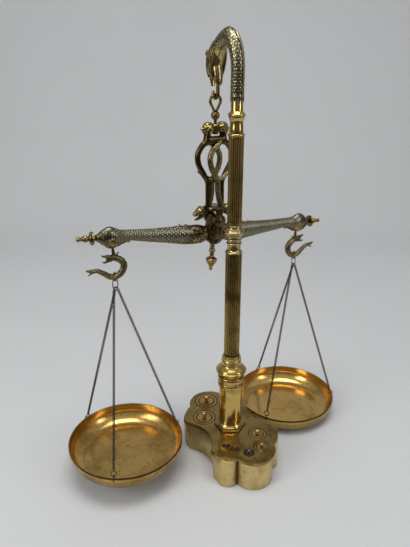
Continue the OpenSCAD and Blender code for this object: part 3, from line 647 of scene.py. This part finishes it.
def copy_of(node, ending, flat=0.0):
    """A copy of a CAD node to work on, its points welded and, with flat, its level faces joined."""
    source = frame["nodes"][node]
    obj = in_scene(node + ending, source.data.copy())
    obj.matrix_world = source.matrix_world.copy()
    work = bmesh.new()
    work.from_mesh(obj.data)
    bmesh.ops.remove_doubles(work, verts=work.verts, dist=1e-6)
    if flat:
        bmesh.ops.dissolve_limit(work, angle_limit=math.radians(flat), verts=work.verts, edges=work.edges)
    work.to_mesh(obj.data)
    work.free()
    return obj


def stands_for(obj, node, finish):
    """Gives a worked copy its finish, and puts it in the place of its CAD node."""
    dress(obj.data, finish)
    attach(obj, NODE_BODY[node])
    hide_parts(node)


def softened(node, width, finish):
    """A copy of a CAD node with its sharp edges eased, as a file and a polish leave them."""
    obj = copy_of(node, "_eased", 0 if node.startswith("base") else 0.5)
    ease = obj.modifiers.new("ease", "BEVEL")
    ease.width = width * MM
    ease.segments = 3
    ease.limit_method = "ANGLE"
    ease.angle_limit = math.radians(32)
    applied(obj)
    stands_for(obj, node, finish)
    obj.data.set_sharp_from_angle(angle=math.radians(30))


EASED = {"base_block": 0.7, "base_plate": 0.6, "foot_plate": 0.35, "column_socket": 0.3, "column_crown": 0.3,
         "middle_collar": 0.25, "upper_collar": 0.25, "end_finial_right": 0.2, "end_finial_left": 0.2,
         "pointer": 0.2, "bearing_cap_front": 0.3, "bearing_cap_back": 0.3, "beam_hub": 0.9,
         "mouth_hook": 0.2}
EASED.update({f"weight_{i}": 0.3 if i < 5 else 0.15 for i in range(1, 8)})
OWN_FINISH = {"bearing_cap_front": "cast_brass", "bearing_cap_back": "cast_brass",
              "end_finial_right": "gilt_brass", "end_finial_left": "gilt_brass", "pointer": "gilt_brass",
              "middle_collar": "collar_brass"}
for name, width in EASED.items():
    softened(name, width, OWN_FINISH.get(name, SLOT_OF[name]))
print("eased:", len(EASED))

# %% [markdown]
# The chains are the CAD's own links, each a little wider across the pull of the chain, so that every link
# shows as an open oval. Along the chain nothing changes, so the links still sit in each other as before.

# %% Wider chain links
WIDER = 1.28
LINK_REACH = 2.4        # mm from a link's middle to its end; the rings reach further


def wider(node):
    """A copy of a chain with its links widened, each about its own middle; the rings at its ends stay."""
    obj = copy_of(node, "_wide")
    mesh = obj.data
    points = np.empty(len(mesh.vertices) * 3)
    mesh.vertices.foreach_get("co", points)
    points = points.reshape(-1, 3)
    ends = np.empty(len(mesh.edges) * 2, int)
    mesh.edges.foreach_get("vertices", ends)
    a, b = ends[0::2], ends[1::2]
    link = np.arange(len(points))
    # Joined points take the lowest number among them, again and again, until each link has one number.
    while True:
        lower = np.minimum(link[a], link[b])
        merged = link.copy()
        np.minimum.at(merged, a, lower)
        np.minimum.at(merged, b, lower)
        merged = merged[merged]
        if (merged == link).all():
            break
        link = merged
    which = np.unique(link, return_inverse=True)[1]
    count = np.bincount(which)
    middle = np.stack([np.bincount(which, points[:, k]) / count for k in range(3)], axis=1)
    reach = np.zeros(len(count))
    from_middle = points - middle[which]
    np.maximum.at(reach, which, np.linalg.norm(from_middle, axis=1))
    small = reach < LINK_REACH * MM
    # The links lie in a row, and the row is the way of the pull.
    pull = np.linalg.svd(middle[small] - middle[small].mean(0))[2][0]
    along = (from_middle @ pull)[:, None] * pull
    points = np.where(small[which][:, None], middle[which] + along + (from_middle - along) * WIDER, points)
    mesh.vertices.foreach_set("co", points.reshape(-1))
    stands_for(obj, node, "chain_metal")
    print(node, "links widened:", int(small.sum()), "rings kept:", int((~small).sum()))


for side in ("right", "left"):
    for k in (1, 2, 3):
        wider(f"chain_{side}_{k}")

# %% [markdown]
# The serpent's neck rises from the vase collar, bends over and hangs its head in front of the column. Its
# rows are the CAD's. Along its outer side runs a smooth rib, and a notched band ends it at the foot.

# %% Serpent arm
FRONT = [[0, 1, 0], [-1, 0, 0], [0, 0, 1]]        # turns a roll's X to -Y, in front of the column
ARM_FOOT, ARM_TOP, REACH, NECK = 473.0, 547.0, 45.0, 7.2
neck_rows = [[0, ARM_FOOT, NECK, NECK], [0, ARM_FOOT + 20, NECK, NECK], [0, ARM_FOOT + 36, NECK, NECK],
             [3, ARM_TOP - 24, NECK + .2, NECK + .2], [11, ARM_TOP - 12, NECK + .5, NECK + .8],
             [21, ARM_TOP - 9.4, NECK + .8, NECK + 1.2], [32, ARM_TOP - 14, NECK + 1.1, NECK + .8],
             [40.5, ARM_TOP - 22, NECK + .3, NECK], [REACH, ARM_TOP - 32, 6.2, 6.2],
             [REACH, ARM_TOP - 40, 5, 5]]
# Along the neck, in mm from its foot: the band, its two lips, the rib's ends and the brow.
BAND, LIP_LOW, LIP_HIGH, RIB_FROM, RIB_TO, BROW = 6.5, 1.2, 5.2, 7, 66, 73
# Round the neck, in radians: the middle of the rib, half its width, and the groove beside it.
RIB_AT, RIB_HALF, RIB_EDGE = -0.35, 0.2, 0.1


def neck_press(s, turn):
    share = fade(s, BAND, 7.5) * (1 - fade(s, 82, 98))
    out, relief = scaled(s, turn, around=13, pitch=3.1, height=0.62, share=share, start=7.5)
    from_rib = np.abs((turn - RIB_AT + math.pi) % (2 * math.pi) - math.pi)[None, :]
    on_back = ((s > RIB_FROM) & (s < RIB_TO))[:, None]
    rib = on_back & (from_rib < RIB_HALF)
    beside = on_back & (from_rib < RIB_HALF + RIB_EDGE)
    out = np.where(rib, 0.8, np.where(beside, -0.3, out))
    relief = np.where(rib, 0.9, np.where(beside, 0.1, relief))
    outer = np.abs((turn + math.pi) % (2 * math.pi) - math.pi)[None, :]
    out = out + 1.5 * np.exp(-((s[:, None] - BROW) / 4.5) ** 2 - (outer / 0.8) ** 2)
    band = (s < BAND)[:, None]
    notches = (np.sin(18 * turn)[None, :] > 0) * 1.0
    lips = ((s < LIP_LOW) | (s > LIP_HIGH))[:, None] * 1.0
    out = np.where(band, np.maximum(0.35 * notches, 0.45 * lips), out)
    return out, np.where(band, np.maximum(0.45 + 0.3 * notches, 0.7 * lips), relief)


neck_clay = Clay().roll(neck_rows, 40, 144, neck_press, turned=FRONT)
cast("serpent_neck", neck_clay, "scaled_brass", "stand", "serpent_arm")

# %% [markdown]
# The head is modelled in clay: a skull, brows, eyes, folded cheeks and two jaws, fused and smoothed as one
# casting with a crest of beads. The thin upper jaw is in front, the broad lower jaw holds the hook.

# %% Serpent head
head = Clay()


def in_front(rows):
    return [[REACH + y, ARM_TOP + z, a, b] for y, z, a, b in rows]


def on_head(x, back, down):
    return x, -REACH + back, ARM_TOP - down


head.roll(in_front([[-13.6, -13.2, 7.6, 7.2], [-9, -16.8, 8.6, 8.5], [-4.4, -21, 9.3, 9.2],
                    [-0.6, -26.5, 9.8, 10], [1.8, -33, 9.8, 10.6], [2.2, -40, 8.7, 9.6],
                    [1.5, -46, 6.8, 7.4], [0.8, -51, 4.8, 5]]), 4, 28, turned=FRONT)
head.roll(in_front([[5, -32, 6.4, 4.4], [7.8, -41, 5.6, 3.6], [7.6, -48, 4.4, 2.7], [6.6, -54, 3.2, 2.0],
                    [5.6, -60, 2.2, 1.6]]), 4, 20, turned=FRONT)
head.roll(in_front([[-2, -33, 6.6, 4.4], [-4.6, -42, 6.2, 4.4], [-5.8, -49, 5.6, 4.2], [-6.8, -55, 4.6, 3.4],
                    [-7.2, -58.4, 3.2, 2.6]]), 4, 20, turned=FRONT)
for s in (-1, 1):
    head.ball(on_head(s * 5.8, -5.8, 25.5), (3.8, 4.2, 4.4), 12, 16)
    head.ball(on_head(s * 7.9, -5.2, 31), (2.0, 2.3, 2.4), 12, 16)
    head.ball(on_head(s * 3.4, -10.4, 38), (2.4, 2.0, 4.2), 12, 14)
    head.ball(on_head(s * 3.0, -10.8, 46), (1.9, 1.6, 2.0), 10, 12)
    for back, width, low in ((5.4, 1.5, 52), (1.6, 1.6, 50), (-2.4, 1.3, 47)):
        head.wire([on_head(s * 6.8, back + 6, 15.5), on_head(s * 8.5, back + 2.6, 23),
                   on_head(s * 9.3, back, 32), on_head(s * 8.5, back - 1.4, 41),
                   on_head(s * 5.8, back - 2.4, low)], (0.6, width, width + .3, width, 0.8), 10)
    head.wire([on_head(s * 7.4, -8.2, 34), on_head(s * 6.4, -8.6, 41), on_head(s * 4.8, -7.6, 50)],
              (0.8, 1.3, 0.9), 10)
crest = glide([[-3.5, -10.3], [2.6, -14.9], [8.3, -21.9], [12.0, -30.9], [11.6, -40.2]], 2)
for i, (y, z) in enumerate(crest):
    head.ball((0, -REACH - y, ARM_TOP + z), (1.9 - 0.08 * i, 1.7 - 0.06 * i, 1.7 - 0.06 * i), 10, 14)
shank = Clay().wire([(0, -39.8, 540), (0, -39.8, 470)], (2.2, 2.2), 24, 2)
cast("serpent_head", head, "head_brass", "stand", None, melt=0.42, soften=3,
     cutters=[cutter("shank_cut", shank)])

# %% [markdown]
# The yoke carries the lyre from the swivel. Two knobs, cast as leaves folded round a point, stand out at
# its ends. The knobs take a brighter finish, and the frame under them a dark one.

# %% Yoke
YOKE = 441.0
UP_TO_SIDE = [[0, 0, 1], [0, 1, 0], [1, 0, 0]]
yoke, yoke_frame = Clay(), Clay()
yoke.wire([(-10, 0, YOKE), (10, 0, YOKE)], (3.6, 3.6), 24, 2)
for y, z, r in ((-2.6, 11.8, 2.8), (2.6, 11.8, 2.8), (0, 15.6, 3.4)):
    yoke_frame.wire([(-11, y, YOKE - z), (11, y, YOKE - z)], (r, r), 16, 2)
yoke.lathe([[5.4, YOKE - 4], [5.4, YOKE + 3.6], [4.2, YOKE + 5]], 40)


def leaf(down, around):
    return 0.12 * abs(math.sin(3.5 * around)) - 0.06


for s in (-1, 1):
    yoke.ball((s * 9.4, 0, YOKE + 0.6), (6.9, 6.9, 7.6), 28, 56, turn=UP_TO_SIDE, press=leaf)
    yoke.wire([(s * 12, 0, YOKE), (s * 16.6, 0, YOKE - 0.6), (s * 19.8, 0, YOKE - 0.4)], (4.2, 2.6, 0.8), 14)
    for y in (-1, 1):
        yoke.wire([(s * 8, y * 5.6, YOKE + 4), (s * 11.6, y * 6.7, YOKE + 0.6), (s * 14, y * 4.8, YOKE - 3.4),
                   (s * 12, y * 3.4, YOKE - 7)], (0.8, 1.3, 1.2, 0.7), 10)
        yoke.wire([(s * 6.2, y * 6, YOKE + 0.8), (s * 8.6, y * 6.8, YOKE - 2.6), (s * 11, y * 5.2, YOKE - 7)],
                  (0.6, 1.1, 0.7), 10)
    yoke_frame.roll([[s * 11, YOKE - 13.95, 5.4, 5], [s * 10.8, YOKE - 9, 5, 4.3],
                     [s * 10.4, YOKE - 4, 5, 4.3], [s * 10, YOKE, 4.6, 4.6]], 5, 24)
bore = Clay().wire([(0, 0, YOKE - 12), (0, 0, YOKE + 14)], (2.15, 2.15), 24, 2)
collar_room = Clay().wire([(0, 0, YOKE - 8.5), (0, 0, YOKE - 4.05)], (4.4, 4.4), 24, 2)
at_front = Matrix.Translation((0, -REACH, 0))
for name, clay, finish, node_name in (("yoke_cast", yoke, "gilt_brass", "yoke"),
                                      ("yoke_frame", yoke_frame, "leg_brass", None)):
    cuts = [cutter(f"yoke_cut_{i}", c, at_front) for i, c in enumerate((bore, collar_room))]
    cast(name, clay, finish, "shackle", node_name, at_front, melt=0.4, soften=2, cutters=cuts)

# %% [markdown]
# The lyre is two smooth outer legs with two scaly serpents twined between them. Their tails cross the legs,
# their heads look out over the beam with open mouths.

# %% Lyre
HALF_TURN = [[-1, 0, 0], [0, -1, 0], [0, 0, 1]]
LEG, COIL, APART = 3.5, 3.1, 2.6


def below(rows):
    """Rows of a roll with their heights measured down from the yoke."""
    return [[x, YOKE - down, across, along] for x, down, across, along in rows]


leg_rows = below([[10, 15.4, 4.2, 3.8], [17, 18.4, 3.8, 3.6], [23.6, 29, LEG, LEG], [22.4, 41, LEG, LEG],
                  [15.6, 53, LEG, LEG], [10.4, 63, 3.1, 3.1], [10, 76, 3, 3], [10, 92, 3.1, 3.1]])
tail_rows = below([[-22.5, 49, .7, .7], [-17, 52.5, 1.9, 1.9], [-9, 58.5, 2.5, 2.5], [-2, 60, 2.4, 2.4]])
body_rows = below([[6.4, 15, 2.6, 2.6], [2, 19, COIL, COIL], [-4.4, 24.6, COIL, COIL],
                   [-8.2, 34, COIL, COIL], [-6.6, 45, COIL, COIL], [-1.6, 54.4, COIL, COIL],
                   [2.4, 63, COIL, COIL], [3, 76, COIL, COIL], [5.6, 88, COIL, COIL], [11, 97, 3, 3]])


def snake_press(s, turn):
    return scaled(s, turn, around=7, pitch=2.9, height=0.75, share=np.ones(len(s)))


BOX = [(0, 1, 3, 2), (4, 6, 7, 5), (0, 4, 5, 1), (2, 3, 7, 6), (0, 2, 6, 4), (1, 5, 7, 3)]


def block(name, low, high, matrix):
    """A plain box to cut with."""
    xs, ys, zs = zip(low, high)
    points = [(x, y, z) for x in xs for y in ys for z in zs]
    mesh = bpy.data.meshes.new(name)
    mesh.from_pydata([tuple((matrix @ Vector(p)) * MM) for p in points], [], BOX)
    return in_scene(name, mesh)


legs, snakes = Clay(), Clay()
for flip in (None, HALF_TURN):
    legs.roll(leg_rows, 16, 40, turned=flip)
    snakes.roll(body_rows, 26, 70, snake_press, lift=(0, -APART, 0), turned=flip)
    snakes.roll(tail_rows, 26, 70, snake_press, lift=(0, APART, 0), turned=flip)
PIVOT = YOKE - 110
cut_top = block("lyre_top_cut", (-24, -12, YOKE - 14), (24, 12, YOKE), at_front)
cast("lyre_legs", legs, "leg_brass", "shackle", "lyre", at_front, cutters=[cut_top])
cast("lyre_serpents", snakes, "serpent_brass", "shackle", None, at_front)

# %% [markdown]
# Under the serpents a bridge and two cheeks hold the bearings on both sides of the beam. The cheeks are
# cast with the heads, which rest on the bridge.

# %% Lyre heads and cheeks
GAP, CHEEK, CAP = 9.5, 3.0, 8.0
heads, cheeks = Clay(), Clay()
for s in (1, -1):
    turned = None if s == 1 else HALF_TURN
    y = -APART
    heads.roll(below([[6.4, 90, 2.9, 2.9], [10.5, 95.6, 3.8, 3.8], [15.6, 97.6, 5.6, 5.4],
                      [20.5, 98.6, 5.5, 5.2], [25, 100.4, 4.2, 3.4], [28.8, 102.4, 2.5, 1.9]]), 5, 28,
               lift=(0, y, 0), turned=turned)
    heads.roll(below([[13, 101, 4.4, 3], [18.6, 105.4, 3.9, 2.2], [23.6, 107.6, 2.9, 1.5],
                      [27, 108.2, 1.5, .9]]), 5, 20, lift=(0, y, 0), turned=turned)
    for side in (-1, 1):
        for centre, size in (((17.8, y + side * 3.7, YOKE - 94.4), (3.2, 2, 1.9)),
                             ((20.4, y + side * 4.6, YOKE - 96.8), (1.7, 1.4, 1.6)),
                             ((26.6, y + side * 2, YOKE - 99.8), (1.4, 1, 1.1))):
            heads.ball((s * centre[0], s * centre[1], centre[2]), size, 10, 14)
    heads.wire([(s * 15, s * y, YOKE - 93.6), (s * 11.5, s * y, YOKE - 92),
                (s * 8.5, s * (y + 1), YOKE - 93.4)], (1.3, 1.7, 1.2), 12)
cheeks.lathe([[10, PIVOT + 12.2], [12.4, PIVOT + 13], [12.6, PIVOT + 15.2], [11.6, PIVOT + 17.4],
              [8, PIVOT + 18]], 72)
for s in (-1, 1):
    y0, y1 = sorted((s * (GAP + 0.02), s * (GAP + CHEEK)))
    disc = circle(CAP, 60)
    pts = [(x, y0, PIVOT + z) for x, z in disc] + [(x, y1, PIVOT + z) for x, z in disc]
    n = len(disc)
    cheeks.add(pts, [(i, (i + 1) % n, n + (i + 1) % n, n + i) for i in range(n)]
               + [tuple(range(n - 1, -1, -1)), tuple(range(n, 2 * n))])
    pts = [(x, y, z) for x in (-4.5, 4.5) for y in (y0, y1) for z in (PIVOT + 2, PIVOT + 16)]
    cheeks.add(pts, BOX)
pin_cut = Clay().wire([(0, -16, PIVOT), (0, 16, PIVOT)], (2.1, 2.1), 24, 2)
cast("lyre_cheeks", cheeks, "leg_brass", "shackle", None, at_front, melt=0.4,
     soften=2, cutters=[cutter("pin_cut", pin_cut, at_front)])
cast("lyre_heads", heads, "gilt_brass", "shackle", None, at_front, melt=0.36, soften=1)

# %% [markdown]
# Each arm of the beam is a dragon. Its head faces the middle, with a crest on the neck, and its body thins
# and then swells to a scroll round the pin that carries the hook. A slot from below lets the hook swing.

# %% Dragons of the beam
ARM_LEN, RISE, TILT, HUB_W = 135.0, 18.0, math.radians(4.74), 10.0
level = (at_front @ Matrix.Translation((0, 0, PIVOT)) @ Matrix.Rotation(-TILT, 4, "Y")
         @ Matrix.Translation((0, 0, -RISE)))
arm_rows = [[HUB_W, 0, 5, 9], [16, 0, 6, 10.4], [24, 0, 7, 12.2], [36, 0, 7, 12.1], [50, 1, 6, 11],
            [66, 2, 5.5, 9.4], [83, 3.1, 5, 8.1], [100, 4.5, 4.8, 7], [112, 5.7, 4.8, 6.3],
            [ARM_LEN - 13, 5.6, 5.2, 6.8], [ARM_LEN - 5, 5, 6.6, 9.6], [ARM_LEN + 4, 5.2, 7, 12.2],
            [ARM_LEN + 12, 5.2, 6, 8.5], [ARM_LEN + 17, 5.2, 4, 4.6]]
arm_path = glide(arm_rows, 20)


def on_side(x, z):
    """Half the width of the arm at a place on its side."""
    i = int(np.argmin(np.abs(arm_path[:, 0] - x)))
    _, mid, across, half = arm_path[i]
    return across * math.sqrt(max(0.0, 1 - ((z - mid) / half) ** 2))


def dragon_press(s, turn):
    share = fade(s, 26, 34) * (1 - fade(s, 120, 130) * 0.6)
    return scaled(s, turn, around=16, pitch=2.9, height=0.62, share=share, start=0.5)


def curl(x, z, turn, radius, count):
    """Points of a spiral, from one turn and radius to another."""
    return [(x + r * math.cos(a), z + r * math.sin(a)) for a, r in
            zip(np.linspace(*turn, count), np.linspace(*radius, count))]


def dragon(name, facing):
    clay = Clay().roll(arm_rows, 26, 128, dragon_press)
    trim = Clay()
    for y in (-1, 1):
        for centre, size in (((27, 5.2, 6.2), (7.4, 2.6, 4.2)), ((18.5, 4.6, 1.4), (6.4, 2.4, 5.0)),
                             ((28, 5.4, -3.6), (6.4, 2.2, 4.6)), ((17.5, 3.8, -6.4), (6.2, 2.4, 2.6))):
            trim.ball((centre[0], y * centre[1], centre[2]), size, 14, 22)
        trim.ball((ARM_LEN + 1.6, y * 3.2, 2.4), (9.4, 3.9, 8.8), 16, 28)

        def lay(points, radii, rise=0.35, detail=6):
            trim.wire([(x, y * (on_side(x, z) + rise), z) for x, z in points], radii, 12, detail)

        lay([(112, -0.6), (118, -1.6), (124, -3.6), (130, -6.2), (137, -6.6), (143, -4.2), (147, 0.4),
             (148.6, 6)], (.5, .8, 1.1, 1.35, 1.5, 1.4, 1.2, .8))
        lay(curl(ARM_LEN + 1, 1.0, (-2.9, 5.2), (6.6, 1.6), 17), list(np.linspace(1.25, .75, 17)), 0.3, 3)
        lay([(143, 13), (147, 9), (149, 4)], (.5, .9, .5))
        lay([(36, 7.5), (31, 9.6), (25.5, 8.8), (22, 6.2)], (.7, 1.4, 1.5, .8), 0.2)
        lay(curl(21.5, 0.6, (0.6, 6.6), (5.4, 1.3), 13), list(np.linspace(1.2, .7, 13)), 0.25, 3)
        lay([(34, 3.4), (30, -1.6), (27.5, -6.6), (22, -9.6), (15, -9)], (.6, 1.1, 1.2, 1.0, .6), 0.2)
        lay([(40, 0.5), (34, -3.4), (31, -8), (25, -11)], (.5, .9, .9, .5), 0.15)
        lay([(42, -4), (37, -7), (34, -10)], (.5, .9, .4), 0.15)
        lay([(13, 7), (16, 3.6), (13, .4), (15, -3.6)], (.7, 1, 1, .6), 0.2)
        trim.ball((26.2, y * (on_side(26, 5.4) + 0.1), 5.4), (1.6, 1.2, 1.5), 12, 16)
        trim.ball((14.6, y * (on_side(14.6, -6.6) + 0.1), -6.6), (1.5, 1.1, 1.3), 10, 14)
    trim.wire([(44, 0, 9.6), (48.4, 0, 12.4), (51.6, 0, 15.2)], (1.3, 1.1, .35), 12)
    trim.wire([(46, 0, 9.6), (52, 0, 11.4), (56, 0, 12.3)], (1.2, .9, .3), 12)
    trim.wire([(36, 0, 11), (40, 0, 12.6), (43.4, 0, 14)], (1.2, 1.0, .3), 12)
    trim.wire([(121, 0, 0.2), (116.4, 0, -1.8), (113, 0, -3.2)], (1.4, 1.0, .35), 12)
    turn = level @ facing

    def slot():
        return [block("slot_cut", (ARM_LEN - 6, -1.7, -20), (ARM_LEN + 5, 1.7, 4.4), turn)]

    cast("dragon_" + name, clay, "dragon_brass", "beam", "beam_arm_" + name, turn,
         cutters=slot())
    cast("dragon_scrolls_" + name, trim, "gilt_brass", "beam", None, turn, melt=0.32, soften=1,
         cutters=slot())


SIDES = {"right": Matrix.Identity(4), "left": Matrix.Rotation(math.pi, 4, "Z")}
for name, facing in SIDES.items():
    dragon(name, facing)

# %% [markdown]
# On both faces of the hub a raised edge runs round the dome and down to the pointer, like a drop.

# %% Edge of the hub
edge = Clay()
for y in (-7.5, 7.5):
    drop = [(6.0 * math.sin(a), y, RISE + 6.0 * math.cos(a)) for a in np.linspace(0, 1.9, 8)]
    side_of = drop + [(5.6, y, 8.0), (5.0, y, 0.0), (3.4, y, -7.0), (0.0, y, -12.6)]
    for s in (-1, 1):
        edge.wire([(s * x, y, z) for x, y, z in side_of], [1.15] * len(side_of), 12, 4)
cast("hub_edge", edge, "leg_brass", "beam", None, level, melt=0.35, soften=1)

# %% [markdown]
# A snake hangs from each end of the beam and makes the hook: its mouth gapes outward, its body turns under,
# and its tail runs out in a fork. An eye goes up into the slot, and a small ring below carries the chains.

# %% Snake hooks
snake_rows = [[8.6, -20, 2.2, 2], [4.6, -19.6, 3.2, 3.2], [-3, -20.8, 3.5, 3.6], [-9, -24.6, 3.8, 3.8],
              [-12.3, -31, 3.8, 3.8], [-9.4, -38.8, 3.6, 3.7], [-2, -43.4, 3.5, 3.5], [6, -42, 3.2, 3.3],
              [13, -37, 2.8, 2.9], [20, -32.6, 2.3, 2.4], [27, -31.6, 1.9, 1.9], [33, -30, .8, .8]]


def hook_pin(name):
    """The place of the pin at one end of the tilted beam."""
    x, z, c, s = {"right": ARM_LEN, "left": -ARM_LEN}[name], -RISE, math.cos(TILT), math.sin(TILT)
    return Matrix.Translation((x * c - z * s, -REACH, PIVOT + x * s + z * c))


def hook(name, facing):
    out = hook_pin(name) @ facing

    def press(s, turn):
        share = fade(s, 9, 14) * (1 - fade(s, 82, 96))
        return scaled(s, turn, around=9, pitch=2.7, height=0.62, share=share, start=0.2)

    body = Clay().roll(snake_rows, 20, 80, press)
    cast("snake_" + name, body, "snake_brass", "hook_" + name, "hook_" + name, out)
    extra = Clay()
    extra.roll([[20, -33.2, 1.9, 1.4], [26, -33.6, 1.6, 1.2], [30, -35.4, 1.0, .8],
                [31.6, -36.8, .5, .4]], 5, 14)
    extra.roll([[2, -19.2, 3.3, 3.0], [7, -17.2, 3.0, 1.9], [11.4, -16.6, 2.1, 1.2],
                [14, -14.6, 1.0, .6]], 5, 18)
    extra.roll([[3, -21.6, 3.0, 2.4], [7.6, -23, 2.4, 1.4], [11, -24, 1.6, 1.0],
                [13.6, -22.6, .8, .5]], 5, 18)
    for y in (-1, 1):
        extra.ball((3.8, y * 2.7, -17.4), (1.3, .9, 1.1), 10, 12)
        extra.ball((0.8, y * 2.9, -17.6), (2.4, 1.0, 1.0), 10, 12)
    extra.wire([(-3.6, 0, -18.4), (-5.4, 0, -15.2), (-7.6, 0, -14.6)], (1.4, .9, .3), 10)
    extra.wire([(-1, 0, -18.6), (0, 0, -10), (0, 0, -3.2)], (2.4, 1.7, 1.3), 20)
    extra.ball((0, 0, -39.6), (1.5, 1.5, 2.6), 12, 16)
    extra.wire([(0, 0, -46.9), (0, 0, -44)], (.9, .9), 16, 3)
    cast("snake_head_" + name, extra, "hook_brass", "hook_" + name, None, out, melt=0.3,
         soften=1)
    eye = Clay()
    n = 48
    pts = [(x, y, z) for y in (-1.3, 1.3) for radius in (3.4, 1.3) for x, z in circle(radius, n)]
    faces = []
    for i in range(n):
        j = (i + 1) % n
        faces += [(i, j, n + j, n + i), (2 * n + i, 3 * n + i, 3 * n + j, 2 * n + j),
                  (i, 2 * n + i, 2 * n + j, j), (n + i, n + j, 3 * n + j, 3 * n + i)]
    eye.add(pts, faces)
    loop = [(0, 1.35 * math.cos(a), -47.9 + 1.35 * math.sin(a)) for a in np.linspace(0, 2 * math.pi, 25)]
    eye.wire(loop, [.5] * 25, 12, 2)
    cast("snake_eye_" + name, eye, "hook_brass", "hook_" + name, None, out)


for name, facing in SIDES.items():
    hook(name, facing)
